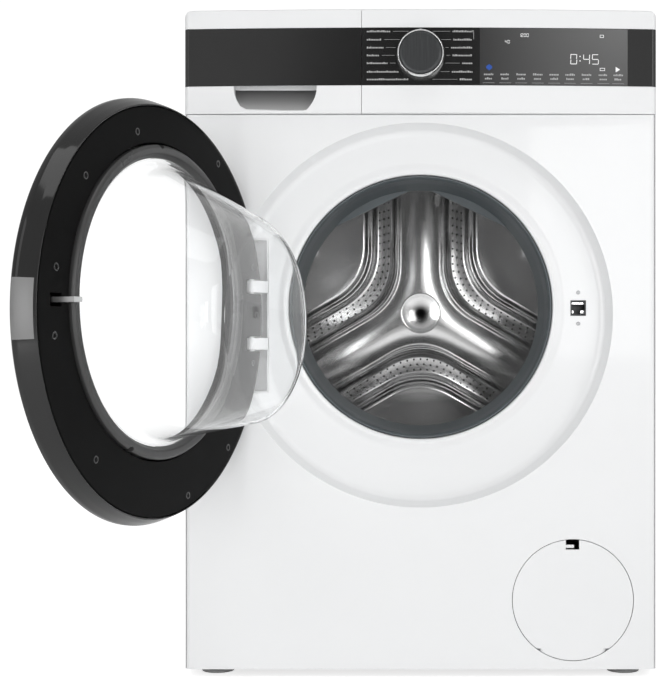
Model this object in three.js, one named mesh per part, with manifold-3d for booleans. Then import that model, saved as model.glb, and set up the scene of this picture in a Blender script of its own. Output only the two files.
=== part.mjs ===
// Front load washing machine, 60 cm class, as an assembly of separate pieces.
//
// Units are millimetres. +X points right, +Y points to the back and +Z points up.
// The origin is the middle of the base tray's underside. The floor is FOOT_DROP below it.
// "Depth" always means the distance behind the front panel's face.

import * as THREE from 'three';
import { mergeVertices } from 'three/addons/utils/BufferGeometryUtils.js';
import Module from 'manifold-3d';

const wasm = await Module();
wasm.setup();

// ---- driving dimensions -------------------------------------------------------------

const WIDTH = 598;
const HALF = WIDTH / 2;
const TOP = 835;
const FRONT = -290;
const BACK = 289;
const FOOT_DROP = 10;
const GAP = 0.3;

const SHEET = 1.5;
const WORKTOP_THICK = 22;
const FASCIA_BOTTOM = 703;
const FASCIA_BOW = 12;
const FASCIA_WALL = 2.5;
const BAND_LOW = 738;
const BAND_HIGH = 811;
const DRAWER_RIGHT = -74.3;

const RING_Z = 449;
const AXIS_Z = 460;
const LIFT = AXIS_Z - RING_Z;
const RECESS_R = 243.8;
const RECESS_DEPTH = 26;
const PORTHOLE_R = 169;
const FINE = 30;
const COARSE = 20;
const SMALL = 10;

const HINGE_X = -214.5;
const HINGE_DEPTH = 8;
const DOOR_SEAT = 12;
const DOOR_OPEN = 112.3;
const DOOR_SPARE = 4;
const HINGE_ARM_OFFSET = 36.5;
const HINGE_ARM_TALL = 15;

const LOCK_X = 202.4;
const LOCK_Z = 458.5;
const HOOK_REACH = 27;
const BOWL_DROP = 22;

const KNOB_Z = 776;
const KNOB_R = 29.7;

const FLAP_X = 193;
const FLAP_Z = 88;
const FLAP_R = 76.5;
const FLAP_PIN_Z = 24;
const FLAP_PIN_Y = FRONT + 3.4;
const FLAP_OPEN = 78;
const PUMP_Z = 70;

const DRUM_R = 236;
const DRUM_FRONT = 120;
const DRUM_BACK = 470;
const TUB_R = 254;
const TUB_FRONT = 108;
const TUB_SPLIT = 290;
const TUB_BACK = 504;
const SHAFT_R = 15;
const PULLEY_R = 140;
const PULLEY_DEPTH = 546;
const BELT_WIDTH = 12;
const BELT_THICK = 3;
const BELT_SLACK = 0.8;
const MOTOR_Z = 118;
const MOTOR_PULLEY_R = 10;
const SPRING_X = 222;
const SPRING_Y = 60;
const DAMPER_X = 190;
const DAMPER_Y = -60;
const FILL_X = -150;
const FILL_Y = -40;

// ---- finishes -----------------------------------------------------------------------

const finish = (color, roughness, metalness = 0) =>
  new THREE.MeshStandardMaterial({ color, roughness, metalness });

const WHITE_PAINT = finish(0xf1f2f3, 0.35);
const WHITE_PLASTIC = finish(0xeeeff0, 0.45);
const BLACK_GLASS = finish(0x17181a, 0.08);
const BLACK_GLOSS = finish(0x0c0d0e, 0.12);
const CLEAR_GLASS = finish(0xc9cdd0, 0.05);
CLEAR_GLASS.transparent = true;
CLEAR_GLASS.opacity = 0.35;
const GREY_RUBBER = finish(0x586064, 0.6);
const BLACK_RUBBER = finish(0x1d1e20, 0.75);
const STAINLESS = finish(0xc4c6c8, 0.25, 1);
const CHROME = finish(0xe2e4e6, 0.08, 1);
const DARK_METAL = finish(0x45484c, 0.35, 0.8);
const GREY_PLASTIC = finish(0xb9bdc0, 0.5);
const DARK_PLASTIC = finish(0x2b2d30, 0.55);
const ZINC = finish(0xaeb2b5, 0.4, 0.9);
const CAST_ALLOY = finish(0x9fa3a6, 0.5, 0.9);
const CONCRETE = finish(0x8f8d88, 0.95);

// ---- geometry helpers ---------------------------------------------------------------

// Turns any closed geometry into a solid, dropping collapsed faces and facing it outwards.
function solid(geometry) {
  const bare = geometry.clone();
  bare.deleteAttribute('normal');
  bare.deleteAttribute('uv');
  const merged = mergeVertices(bare, 1e-3);
  const points = merged.getAttribute('position').array;
  const index = merged.getIndex().array;
  const faces = [];
  let volume = 0;
  const corner = (i) => new THREE.Vector3(points[3 * i], points[3 * i + 1], points[3 * i + 2]);
  for (let i = 0; i < index.length; i += 3) {
    const [a, b, c] = [index[i], index[i + 1], index[i + 2]];
    if (a === b || b === c || c === a) continue;
    faces.push([a, b, c]);
    volume += corner(a).dot(corner(b).cross(corner(c)));
  }
  const ordered = faces.flatMap(([a, b, c]) => (volume < 0 ? [a, c, b] : [a, b, c]));
  const mesh = new wasm.Mesh({
    numProp: 3,
    vertProperties: new Float32Array(points),
    triVerts: new Uint32Array(ordered),
  });
  return new wasm.Manifold(mesh);
}

function geometryOf(manifold) {
  const mesh = manifold.getMesh();
  const geometry = new THREE.BufferGeometry();
  geometry.setAttribute('position', new THREE.BufferAttribute(mesh.vertProperties, 3));
  geometry.setIndex(new THREE.BufferAttribute(mesh.triVerts, 1));
  geometry.computeVertexNormals();
  return geometry;
}

const join = (...pieces) =>
  geometryOf(pieces.map(solid).reduce((sum, piece) => sum.add(piece)));

const cut = (base, ...tools) =>
  geometryOf(tools.map(solid).reduce((sum, tool) => sum.subtract(tool), solid(base)));

const common = (a, b) => geometryOf(solid(a).intersect(solid(b)));

function box(x0, x1, y0, y1, z0, z1) {
  const geometry = new THREE.BoxGeometry(x1 - x0, y1 - y0, z1 - z0);
  return geometry.translate((x0 + x1) / 2, (y0 + y1) / 2, (z0 + z1) / 2);
}

function shapeOf(points) {
  return new THREE.Shape(points.map(([a, b]) => new THREE.Vector2(a, b)));
}

function roundedRect(x0, x1, y0, y1, radius) {
  const shape = new THREE.Shape();
  shape.moveTo(x0 + radius, y0);
  shape.lineTo(x1 - radius, y0);
  shape.absarc(x1 - radius, y0 + radius, radius, -Math.PI / 2, 0);
  shape.lineTo(x1, y1 - radius);
  shape.absarc(x1 - radius, y1 - radius, radius, 0, Math.PI / 2);
  shape.lineTo(x0 + radius, y1);
  shape.absarc(x0 + radius, y1 - radius, radius, Math.PI / 2, Math.PI);
  shape.lineTo(x0, y0 + radius);
  shape.absarc(x0 + radius, y0 + radius, radius, Math.PI, 1.5 * Math.PI);
  return shape;
}

// A plan outline (x, y) raised from z0 to z1.
function extrudeUp(shape, z0, z1, curveSegments = 2) {
  const settings = { depth: z1 - z0, bevelEnabled: false, curveSegments };
  return new THREE.ExtrudeGeometry(shape, settings).translate(0, 0, z0);
}

// A front outline (x, z) carried from y0 back to y1.
function extrudeBack(shape, y0, y1, curveSegments = 2) {
  const settings = { depth: y1 - y0, bevelEnabled: false, curveSegments };
  return new THREE.ExtrudeGeometry(shape, settings).rotateX(Math.PI / 2).translate(0, y1, 0);
}

// A closed profile of [radius, depth] turned about the machine's depth axis.
function turned(profile, centreX, centreZ, segments = FINE) {
  const points = [...profile, profile[0]].map(([r, depth]) => new THREE.Vector2(r, FRONT + depth));
  return new THREE.LatheGeometry(points, segments).translate(centreX, 0, centreZ);
}

// A closed profile of [radius, height] turned about a vertical axis.
function turnedUpright(profile, centreX, centreY, segments = SMALL) {
  const points = [...profile, profile[0]].map(([r, z]) => new THREE.Vector2(r, z));
  const geometry = new THREE.LatheGeometry(points, segments);
  return geometry.rotateX(Math.PI / 2).translate(centreX, centreY, 0);
}

// Shifts the middle of a turned ring upwards by LIFT, fading out between two radii.
function eccentric(geometry, centreX, innerR, outerR) {
  const position = geometry.getAttribute('position');
  for (let i = 0; i < position.count; i += 1) {
    const radius = Math.hypot(position.getX(i) - centreX, position.getZ(i) - RING_Z);
    const share = THREE.MathUtils.clamp((outerR - radius) / (outerR - innerR), 0, 1);
    position.setZ(i, position.getZ(i) + LIFT * share);
  }
  return geometry;
}

// A round bar along Y, X or Z.
function bar(axis, radius, from, to, a, b, segments = SMALL) {
  const geometry = new THREE.CylinderGeometry(radius, radius, to - from, segments);
  const middle = (from + to) / 2;
  if (axis === 'y') return geometry.translate(a, middle, b);
  if (axis === 'x') return geometry.rotateZ(Math.PI / 2).translate(middle, a, b);
  return geometry.rotateX(Math.PI / 2).translate(a, b, middle);
}

// A round tube that follows points, closed at both ends.
function tube(points, radius, steps, sides = 4) {
  const path = new THREE.CatmullRomCurve3(points.map((p) => new THREE.Vector3(...p)));
  const ring = new THREE.Shape();
  ring.absarc(0, 0, radius, 0, 2 * Math.PI);
  const settings = { steps, extrudePath: path, bevelEnabled: false, curveSegments: sides };
  return new THREE.ExtrudeGeometry(ring, settings);
}

// Every piece is passed through solid() once more, so that its faces point outwards.
function named(name, geometry, material) {
  const mesh = new THREE.Mesh(geometryOf(solid(geometry)), material);
  mesh.name = name;
  return mesh;
}

// ---- cabinet ------------------------------------------------------------------------

function cabinetWrap() {
  const start = FRONT + 17.5;
  const flange = 7;
  const outline = [
    [-HALF, start], [-HALF, BACK], [HALF, BACK], [HALF, start],
    [HALF - flange, start], [HALF - flange, start + SHEET], [HALF - SHEET, start + SHEET],
    [HALF - SHEET, BACK - SHEET], [-HALF + SHEET, BACK - SHEET], [-HALF + SHEET, start + SHEET],
    [-HALF + flange, start + SHEET], [-HALF + flange, start],
  ];
  const shell = extrudeUp(shapeOf(outline), 1, TOP - WORKTOP_THICK - 1);
  const hangers = [-1, 1].map((side) => {
    const inner = side * (SPRING_X - 16);
    const outer = side * (HALF - SHEET / 2);
    const [left, right] = [Math.min(inner, outer), Math.max(inner, outer)];
    return box(left, right, SPRING_Y - 14, SPRING_Y + 14, 798, 801);
  });
  const service = extrudeBack(roundedRect(-226, 226, 92, 696, 30), BACK - 5, BACK + 5);
  const inletHole = bar('y', 14, BACK - 5, BACK + 5, -220, 770);
  const drainHole = bar('y', 12, BACK - 5, BACK + 5, 60, 764);
  const cableHole = bar('y', 11, BACK - 5, BACK + 5, 230, 764);
  return cut(join(shell, ...hangers), service, inletHole, drainHole, cableHole);
}

function rearCover() {
  const inside = BACK + GAP;
  const plate = extrudeBack(roundedRect(-236, 236, 82, 706, 34), inside, inside + SHEET);
  const window = extrudeBack(roundedRect(-170, 170, 200, 630, 60), inside - 5, inside + 5);
  const pan = extrudeBack(roundedRect(-173, 173, 197, 633, 62), inside, inside + 12);
  const hollow = extrudeBack(roundedRect(-171, 171, 199, 631, 60), inside - 5, inside + 10.5);
  return join(cut(plate, window), cut(pan, hollow));
}

function worktop() {
  const shape = roundedRect(-HALF + 0.5, HALF - 0.5, FRONT + 19, BACK, 5);
  return extrudeUp(shape, TOP - WORKTOP_THICK, TOP, 3);
}

function baseTray() {
  const outer = extrudeUp(roundedRect(-296, 296, FRONT + 19, BACK - 4, 8), 0, 30, 1);
  const inner = extrudeUp(roundedRect(-293.5, 293.5, FRONT + 21.5, BACK - 6.5, 6), 3, 40, 1);
  const footHoles = FOOT_PLACES.map(([, x, y]) => bar('z', 6.5, -5, 10, x, y, 12));
  return cut(outer, inner, ...footHoles);
}

const FOOT_PLACES = [
  ['front_left', -262, FRONT + 45],
  ['front_right', 262, FRONT + 45],
  ['rear_left', -262, BACK - 40],
  ['rear_right', 262, BACK - 40],
];

function foot(x, y) {
  const profile = [
    [0, -FOOT_DROP], [21, -FOOT_DROP], [21, -5], [9, -3], [6, -3], [6, 22], [0, 22],
  ];
  return turnedUpright(profile, x, y);
}

// ---- front panel --------------------------------------------------------------------

const HINGE_POCKET = { left: -242, right: -195, half: 100, depth: 54 };

function frontPanel() {
  const outline = new THREE.Shape();
  const radius = 8;
  const back = FRONT + 16;
  const sheet = 2;
  outline.moveTo(-HALF, back);
  outline.lineTo(-HALF, FRONT + radius);
  outline.absarc(-HALF + radius, FRONT + radius, radius, Math.PI, 1.5 * Math.PI);
  outline.lineTo(HALF - radius, FRONT);
  outline.absarc(HALF - radius, FRONT + radius, radius, 1.5 * Math.PI, 2 * Math.PI);
  outline.lineTo(HALF, back);
  outline.lineTo(HALF - sheet, back);
  outline.absarc(HALF - radius, FRONT + radius, radius - sheet, 0, -Math.PI / 2, true);
  outline.absarc(-HALF + radius, FRONT + radius, radius - sheet, -Math.PI / 2, -Math.PI, true);
  outline.lineTo(-HALF + sheet, back);
  const skin = extrudeUp(outline, 0.5, FASCIA_BOTTOM - 0.4, 3);

  const dish = eccentric(turned([
    [RECESS_R, 0], [239.5, 22], [233, RECESS_DEPTH], [182, RECESS_DEPTH], [172, 23.6],
    [PORTHOLE_R, 25], [PORTHOLE_R, 38], [170.8, 38], [170.8, 26], [182, RECESS_DEPTH + 2],
    [234, RECESS_DEPTH + 2], [241.4, 23], [245.8, 1], [250, 1], [250, 0],
  ], 0, RING_Z), 0, 182, 233);
  const mouth = bar('y', RECESS_R + 1.2, FRONT - 5, FRONT + 5, 0, RING_Z, FINE);
  const p = HINGE_POCKET;
  const pocket = box(p.left - 0.4, p.right + 0.4, FRONT + 21, FRONT + 60,
    RING_Z - p.half - 0.4, RING_Z + p.half + 0.4);
  const lockSlot = box(LOCK_X - 10, LOCK_X + 10, FRONT + 20, FRONT + 40, LOCK_Z - 10, LOCK_Z + 10);
  const flapHole = bar('y', FLAP_R + 0.7, FRONT - 5, FRONT + 5, FLAP_X, FLAP_Z, FINE);
  // Each lug holds the pin from behind and reaches round the path of the flap's lower edge.
  const lugs = [-1, 1].flatMap((side) => {
    const x = FLAP_X + side * 27;
    const back = FLAP_PIN_Y + 11.3;
    const top = FLAP_PIN_Z + 2.8;
    return [
      box(x - 3, x + 3, FLAP_PIN_Y - 0.6, back, FLAP_PIN_Z - 1.2, top),
      box(x - 3, x + 3, back - 1.6, back, 4, top),
      box(x - 3, x + 3, FRONT + 1, back, 4, FLAP_PIN_Z - 10.6),
    ];
  });
  const pinHole = bar('x', 1.4, FLAP_X - 40, FLAP_X + 40, FLAP_PIN_Y, FLAP_PIN_Z, 12);
  const flat = cut(skin, mouth, flapHole);
  return cut(join(flat, dish, ...lugs), pocket, lockSlot, pinHole);
}

// The edge of the round opening, as the flap meets it at each angle while it swings down.
function flapRelief() {
  const plate = box(FLAP_X - 62, FLAP_X + 62, FRONT - 0.1, FRONT + 2.2, 4, 36);
  const hole = bar('y', FLAP_R + 0.4, FRONT - 5, FRONT + 5, FLAP_X, FLAP_Z, FINE);
  const edge = cut(plate, hole).translate(0, -FLAP_PIN_Y, -FLAP_PIN_Z);
  const turns = 10;
  return Array.from({ length: turns }, (_, i) => {
    const angle = THREE.MathUtils.degToRad((FLAP_OPEN * (i + 1)) / turns);
    return edge.clone().rotateX(-angle).translate(0, FLAP_PIN_Y, FLAP_PIN_Z);
  });
}

function serviceFlap() {
  const disc = turned([
    [0, 0], [FLAP_R - 0.6, 0], [FLAP_R, 0.6], [FLAP_R, 2], [0, 2],
  ], FLAP_X, FLAP_Z, FINE);
  const rib = turned([[60, 1.5], [64, 1.5], [64, 7], [60, 7]], FLAP_X, FLAP_Z, COARSE);
  const knuckle = bar('x', 1.9, FLAP_X - 22, FLAP_X + 22, FLAP_PIN_Y, FLAP_PIN_Z, 12);
  const pin = bar('x', 1.1, FLAP_X - 29.5, FLAP_X + 29.5, FLAP_PIN_Y, FLAP_PIN_Z, 12);
  const notch = box(FLAP_X - 9, FLAP_X + 8, FRONT - 3, FRONT + 12, FLAP_Z + 64, FLAP_Z + 90);
  const tab = box(FLAP_X - 9.5, FLAP_X + 2, FRONT + 1, FRONT + 4, FLAP_Z + 66, FLAP_Z + 71);
  return join(cut(join(disc, rib), notch, ...flapRelief()), knuckle, pin, tab);
}

function hingeBracket() {
  const p = HINGE_POCKET;
  const pan = box(p.left, p.right, FRONT + 25, FRONT + p.depth, RING_Z - p.half, RING_Z + p.half);
  const well = box(p.left + 2, p.right - 2, FRONT, FRONT + p.depth - 2,
    RING_Z - p.half + 2, RING_Z + p.half - 2);
  const arm = new THREE.Shape();
  const pinY = FRONT + HINGE_DEPTH;
  arm.absarc(HINGE_X, pinY, 6.5, 0.5 * Math.PI, 1.75 * Math.PI);
  arm.lineTo(p.right, FRONT + 18);
  arm.lineTo(p.right, FRONT + 46);
  arm.lineTo(p.right - 3, FRONT + 46);
  arm.lineTo(p.right - 11, FRONT + 26);
  const arms = [-1, 1].map((side) => {
    const middle = RING_Z + side * HINGE_ARM_OFFSET;
    return extrudeUp(arm, middle - HINGE_ARM_TALL / 2, middle + HINGE_ARM_TALL / 2, 3);
  });
  const pins = [-1, 1].map((side) => {
    const middle = RING_Z + side * HINGE_ARM_OFFSET;
    return bar('z', 3, middle - 16, middle + 16, HINGE_X, pinY, 14);
  });
  return join(cut(pan, well), ...arms, ...pins);
}

function doorLock() {
  const mouth = box(LOCK_X - 9.6, LOCK_X + 9.6, FRONT + 25, FRONT + 30, LOCK_Z - 9.6, LOCK_Z + 9.6);
  const body = box(LOCK_X - 17, LOCK_X + 17, FRONT + 28.5, FRONT + 62, LOCK_Z - 30, LOCK_Z + 30);
  const slot = box(LOCK_X - 8.6, LOCK_X + 8.6, FRONT, FRONT + 52, LOCK_Z - 7.6, LOCK_Z + 7.6);
  return cut(join(mouth, body), slot);
}

function gasket() {
  return turned([
    [165.2, 25], [161, 60], [156, 97], [156.6, 100.5], [159.6, 100.5], [164.6, 66], [178, 64],
    [179, 100], [182.5, 100], [181.5, 59], [168, 54], [168.4, 44], [173, 43], [173, 38.6],
    [PORTHOLE_R - 0.6, 38.6], [PORTHOLE_R - 0.6, 25],
  ], 0, AXIS_Z);
}

// ---- control fascia and drawer ------------------------------------------------------

// The bowed front line in plan, with rounded outer corners.
function fasciaLine(x) {
  const bow = FRONT - FASCIA_BOW * (1 - (x / HALF) ** 2);
  const past = Math.max(0, Math.abs(x) - (HALF - 6));
  return bow + 6 - Math.sqrt(36 - past * past);
}

// A band that follows the bowed line between two setbacks.
function bowedBand(x0, x1, setback0, setback1, z0, z1) {
  const count = 12;
  const along = Array.from({ length: count + 1 }, (_, i) => x0 + ((x1 - x0) * i) / count);
  const near = along.map((x) => [x, fasciaLine(x) + setback0]);
  const far = along.map((x) => [x, fasciaLine(x) + setback1]).reverse();
  return extrudeUp(shapeOf([...near, ...far]), z0, z1);
}

// A block of the fascia between two x values, running back to a flat rear plane.
function fasciaBlock(x0, x1, setback, rear, z0, z1) {
  const count = 12;
  const along = Array.from({ length: count + 1 }, (_, i) => x0 + ((x1 - x0) * i) / count);
  const near = along.map((x) => [x, fasciaLine(x) + setback]);
  return extrudeUp(shapeOf([...near, [x1, rear], [x0, rear]]), z0, z1);
}

function fasciaShell(x0, x1) {
  const rear = FRONT + 17;
  const low = FASCIA_BOTTOM + GAP;
  const outer = fasciaBlock(x0, x1, 0, rear, low, TOP - 0.5);
  const corners = roundedRect(-HALF, HALF, low - 20, TOP - 0.5, 10);
  const silhouette = extrudeBack(corners, FRONT - 30, rear + 5);
  const inner = fasciaBlock(x0 + FASCIA_WALL, x1 - FASCIA_WALL, FASCIA_WALL + 1, rear + 5,
    low + FASCIA_WALL, TOP - 0.5 - FASCIA_WALL);
  const seat = bowedBand(Math.max(x0 - 1, -HALF), Math.min(x1 + 1, HALF), -4, 1.6, BAND_LOW, BAND_HIGH);
  return cut(common(outer, silhouette), inner, seat);
}

function controlFascia() {
  const knobHole = bar('y', 7, FRONT - 20, FRONT + 20, 0, KNOB_Z, 20);
  return cut(fasciaShell(DRAWER_RIGHT + GAP, HALF), knobHole);
}

function fasciaGlass() {
  const knobHole = bar('y', 7, FRONT - 20, FRONT + 20, 0, KNOB_Z, 20);
  const band = bowedBand(DRAWER_RIGHT + GAP, HALF - 0.2, 0, 1.3, BAND_LOW + GAP, BAND_HIGH - GAP);
  return cut(band, knobHole);
}

function controlBoard() {
  const frame = box(66, 272, FRONT + 4, FRONT + 8, 741, 808);
  const electronics = box(74, 264, FRONT + 7, FRONT + 30, 748, 800);
  return join(frame, electronics);
}

function knobCap() {
  return turned([
    [0, -32], [24, -32], [26.6, -31], [27, -29], [27, -16], [5, -15], [5, 6], [0, 6],
  ], 0, KNOB_Z, COARSE);
}

function knobRing() {
  return turned([
    [27.3, -30.5], [28.6, -30.2], [KNOB_R, -27], [KNOB_R + 0.6, -12.6],
    [6, -12.6], [6, -14.5], [27.3, -14.5],
  ], 0, KNOB_Z, COARSE);
}

const SCOOP = { left: -235, right: -132, low: 706.8, high: 736.5 };

function drawerFront() {
  const s = SCOOP;
  const rear = FRONT + 15;
  const shell = fasciaShell(-HALF, DRAWER_RIGHT - GAP);
  const liner = extrudeBack(shapeOf([
    [s.left - 2.5, s.high + 12], [s.left - 2.5, s.high - 4], [s.left + 6, s.low - 2],
    [s.right - 6, s.low - 2], [s.right + 2.5, s.high - 4], [s.right + 2.5, s.high + 12],
  ]), FRONT - 9, rear);
  const scoop = extrudeBack(shapeOf([
    [s.left, s.high], [s.left, s.high - 4], [s.left + 8, s.low],
    [s.right - 8, s.low], [s.right, s.high - 4], [s.right, s.high],
  ]), FRONT - 30, rear - 2);
  const fingers = box(s.left, s.right, FRONT - 4, rear - 2, s.high - 8, s.high + 9.5);
  const seat = bowedBand(-HALF, DRAWER_RIGHT, -8, 1.6, BAND_LOW, BAND_HIGH);
  return cut(join(shell, liner), scoop, fingers, seat);
}

function drawerGlass() {
  return bowedBand(-HALF + 0.2, DRAWER_RIGHT - GAP, 0, 1.3, BAND_LOW + GAP, BAND_HIGH - GAP);
}

const TRAY = { left: -286, right: -88, front: FRONT + 16.5, back: 8, low: 733, high: 792 };
const TRAY_WALLS = [-195, -145];

function drawerTray() {
  const t = TRAY;
  const outer = box(t.left, t.right, t.front, t.back, t.low, t.high);
  const edges = [t.left + 1, ...TRAY_WALLS, t.right - 1];
  const pockets = edges.slice(1).map((edge, i) =>
    box(edges[i] + 1, edge - 1, t.front + 2.5, t.back - 2.5, t.low + 2.5, t.high + 5));
  const outlets = [0, 2].map((i) =>
    box(edges[i] + 12, edges[i + 1] - 12, t.back - 5, t.back + 5, t.low + 2.5, t.low + 14));
  return cut(outer, ...pockets, ...outlets);
}

function siphonCap() {
  const [left, right] = TRAY_WALLS;
  const lid = box(left + 1.4, right - 1.4, -62, 5, 778, 794);
  const hollow = box(left + 3.4, right - 3.4, -60, 3, 770, 792);
  const stem = bar('z', 6, 740, 793, (left + right) / 2, -28, 12);
  return join(cut(lid, hollow), stem);
}

function dispenserHousing() {
  const outer = box(-291, -82, FRONT + 18.5, 20, 728, 808);
  const inner = box(-288.5, -84.5, FRONT, 17.5, 730.5, 805.5);
  const outlet = bar('z', 11, 700, 735, FILL_X, FILL_Y, 16);
  return cut(outer, inner, outlet);
}

// ---- door: built closed about its hinge pin, then swung open -------------------------

const DOOR_FACE = DOOR_SEAT - HINGE_DEPTH;

// A closed profile of [radius, height above the door's inner face], about the door's middle.
function doorTurned(profile, segments = FINE) {
  const raised = profile.map(([r, rise]) => [r, DOOR_FACE + rise - FRONT]);
  return eccentric(turned(raised, -HINGE_X, RING_Z, segments), -HINGE_X, 184, 228);
}

function hingePockets() {
  return [-1, 1].map((side) => {
    const middle = RING_Z + side * HINGE_ARM_OFFSET;
    const half = HINGE_ARM_TALL / 2 + 2;
    return box(-50, 23, -9.5, 30, middle - half, middle + half);
  });
}

// What the door's back edge sweeps past: the panel round the recess, with its hinge pocket.
function sweptEdge() {
  const p = HINGE_POCKET;
  const panel = box(-HALF, -120, FRONT - 1, FRONT + 60, RING_Z - 200, RING_Z + 200);
  const recess = turned([
    [0, -5], [RECESS_R - 0.9, -5], [RECESS_R - 0.9, 0], [238.4, 21], [231.8, 25], [0, 25],
  ], 0, RING_Z);
  const pocket = box(p.left + 2.8, p.right - 2.8, FRONT + 21.5, FRONT + p.depth - 2.8,
    RING_Z - p.half + 2.8, RING_Z + p.half - 2.8);
  const edge = cut(panel, recess, pocket).translate(-HINGE_X, -FRONT - HINGE_DEPTH, 0);
  const first = 8;
  const last = DOOR_OPEN + DOOR_SPARE;
  const turns = 15;
  return Array.from({ length: turns + 1 }, (_, i) => {
    const angle = first + ((last - first) * i) / turns;
    return edge.clone().rotateZ(THREE.MathUtils.degToRad(angle));
  });
}

function doorOuterRing() {
  const ring = doorTurned([
    [235, 0], [243, -21], [242.4, -27], [237, -30.8], [178, -30.8], [166.5, -24], [166.5, -10],
    [169, -10], [169, -23], [179, -28.2], [236, -28.2], [240.3, -21], [232.4, 0],
  ]);
  const thick = doorTurned([[204, -28.8], [238, -28.8], [240, -21], [237.5, -17], [204, -17]]);
  const nearHinge = common(thick, box(-60, 48, -60, 60, RING_Z - 150, RING_Z + 150));
  return cut(join(ring, nearHinge), ...hingePockets(), ...sweptEdge());
}

function doorInnerFrame() {
  const frame = doorTurned([
    [232, 0], [232, -16], [229.5, -16], [229.5, -2.5], [183, -2.5], [183, -18], [180.5, -18], [180.5, 0],
  ]);
  const blocks = [];
  for (const arm of [-1, 1]) {
    for (const side of [-1, 1]) {
      const middle = RING_Z + arm * HINGE_ARM_OFFSET + side * 14;
      blocks.push(box(-7, 8, -8, DOOR_FACE - 1, middle - 4.3, middle + 4.3));
    }
  }
  const bore = bar('z', 3.3, RING_Z - 60, RING_Z + 60, 0, 0, 14);
  const u = LOCK_X - HINGE_X;
  const hookSlot = box(u - 9.5, u + 9.5, DOOR_FACE - 6, DOOR_FACE + 5, LOCK_Z - 7, LOCK_Z + 7);
  return cut(join(frame, ...blocks), ...hingePockets(), bore, hookSlot, ...sweptEdge());
}

// The bowl's deep end sits lower than its mouth.
function doorBowl() {
  const bowl = doorTurned([
    [178.8, -7], [178.8, 3], [176.5, 5.5], [168, 5.5], [160, 3], [154.6, 10], [114, 122],
    [101, 132.5], [0, 136], [0, 131.6], [98.4, 128.2], [109.9, 118.9], [150.4, 9], [155, -7],
  ]);
  const position = bowl.getAttribute('position');
  for (let i = 0; i < position.count; i += 1) {
    const share = THREE.MathUtils.clamp((position.getY(i) - 3) / 130, 0, 1);
    position.setZ(i, position.getZ(i) - BOWL_DROP * share);
  }
  return bowl;
}

function latchHook() {
  const u = LOCK_X - HINGE_X;
  const stem = box(u - 7, u + 7, DOOR_FACE - 13, DOOR_FACE + HOOK_REACH, LOCK_Z - 2.7, LOCK_Z + 2.7);
  const window = box(u - 2, u + 3.5, DOOR_FACE + 14, DOOR_FACE + 22, LOCK_Z - 5, LOCK_Z + 5);
  const pivot = bar('x', 3.5, u - 8, u + 8, DOOR_FACE - 12, LOCK_Z, 12);
  return cut(join(stem, pivot), window);
}

// ---- tub, drum and drive ------------------------------------------------------------

function tubFront() {
  const shell = turned([
    [178.5, 100.4], [183, 100.4], [183, TUB_FRONT], [TUB_R, TUB_FRONT], [TUB_R, 282], [263, 282],
    [263, TUB_SPLIT], [250, TUB_SPLIT], [250, TUB_FRONT + 4], [178.5, TUB_FRONT + 4],
  ], 0, AXIS_Z, COARSE);
  const lugs = [-1, 1].map((side) =>
    box(side * DAMPER_X - 13, side * DAMPER_X + 13, DAMPER_Y - 14, DAMPER_Y + 14, 269, 298));
  const fill = bar('z', 12, 655, 680, FILL_X, FILL_Y, 16);
  const drain = bar('z', 13, 205, 230, 90, -110, 16);
  const space = turned([[0, 100], [249.9, 100], [249.9, 400], [0, 400]], 0, AXIS_Z, COARSE);
  const heaterHole = box(-29, 29, FRONT + 90, FRONT + 125, 212, 223);
  const spigots = [cut(fill, space), cut(drain, space), ...lugs.map((lug) => cut(lug, space))];
  return cut(join(shell, ...spigots), heaterHole);
}

function tubRear() {
  const shell = turned([
    [250, TUB_SPLIT + 0.4], [263, TUB_SPLIT + 0.4], [263, 298], [TUB_R, 298], [TUB_R, TUB_BACK],
    [46, TUB_BACK], [46, 540], [31.3, 540], [31.3, 484], [46, 484],
    [62, TUB_BACK - 4], [250, TUB_BACK - 4],
  ], 0, AXIS_Z, COARSE);
  const space = turned([[0, 280], [249.9, 280], [249.9, 480], [0, 480]], 0, AXIS_Z, COARSE);
  const lugs = [-1, 1].map((side) => {
    const x = side * SPRING_X;
    return cut(box(x - 9, x + 9, SPRING_Y - 5, SPRING_Y + 5, 560, 640), space);
  });
  return join(shell, ...lugs);
}

// A thick arc of a ring seen from the front, between two angles in degrees.
function arcBlock(innerR, outerR, from, to, depth0, depth1, segments) {
  const shape = new THREE.Shape();
  const a = THREE.MathUtils.degToRad(from);
  const b = THREE.MathUtils.degToRad(to);
  shape.absarc(0, AXIS_Z, outerR, a, b);
  shape.absarc(0, AXIS_Z, innerR, b, a, true);
  return extrudeBack(shape, FRONT + depth0, FRONT + depth1, segments);
}

function counterweightFront() {
  return arcBlock(190, 249, 200, 340, 72, 104, 20);
}

function counterweightTop() {
  const slab = extrudeBack(roundedRect(-66, 176, 690, 778, 12), -120, 70, 3);
  const saddle = turned([[0, 100], [264, 100], [264, 480], [0, 480]], 0, AXIS_Z, COARSE);
  return cut(slab, saddle);
}

function heater() {
  const low = 217.5;
  const legs = [-1, 1].map((side) => bar('y', 3, FRONT + 112, FRONT + 272, side * 16, low, 10));
  const bend = box(-19, 19, FRONT + 268, FRONT + 274, low - 3, low + 3);
  const plug = box(-28, 28, FRONT + 106.5, FRONT + 116, 212.6, 222.4);
  return join(...legs, bend, plug);
}

function starArm(angle, width, reach, depth0, depth1) {
  const half = width / 2;
  const shape = shapeOf([[-half, 0], [half, 0], [half + 6, reach], [-half - 6, reach]]);
  const arm = extrudeBack(shape, FRONT + depth0, FRONT + depth1);
  return arm.rotateY(THREE.MathUtils.degToRad(angle)).translate(0, 0, AXIS_Z);
}

const THIRDS = [0, 120, 240];

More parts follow.
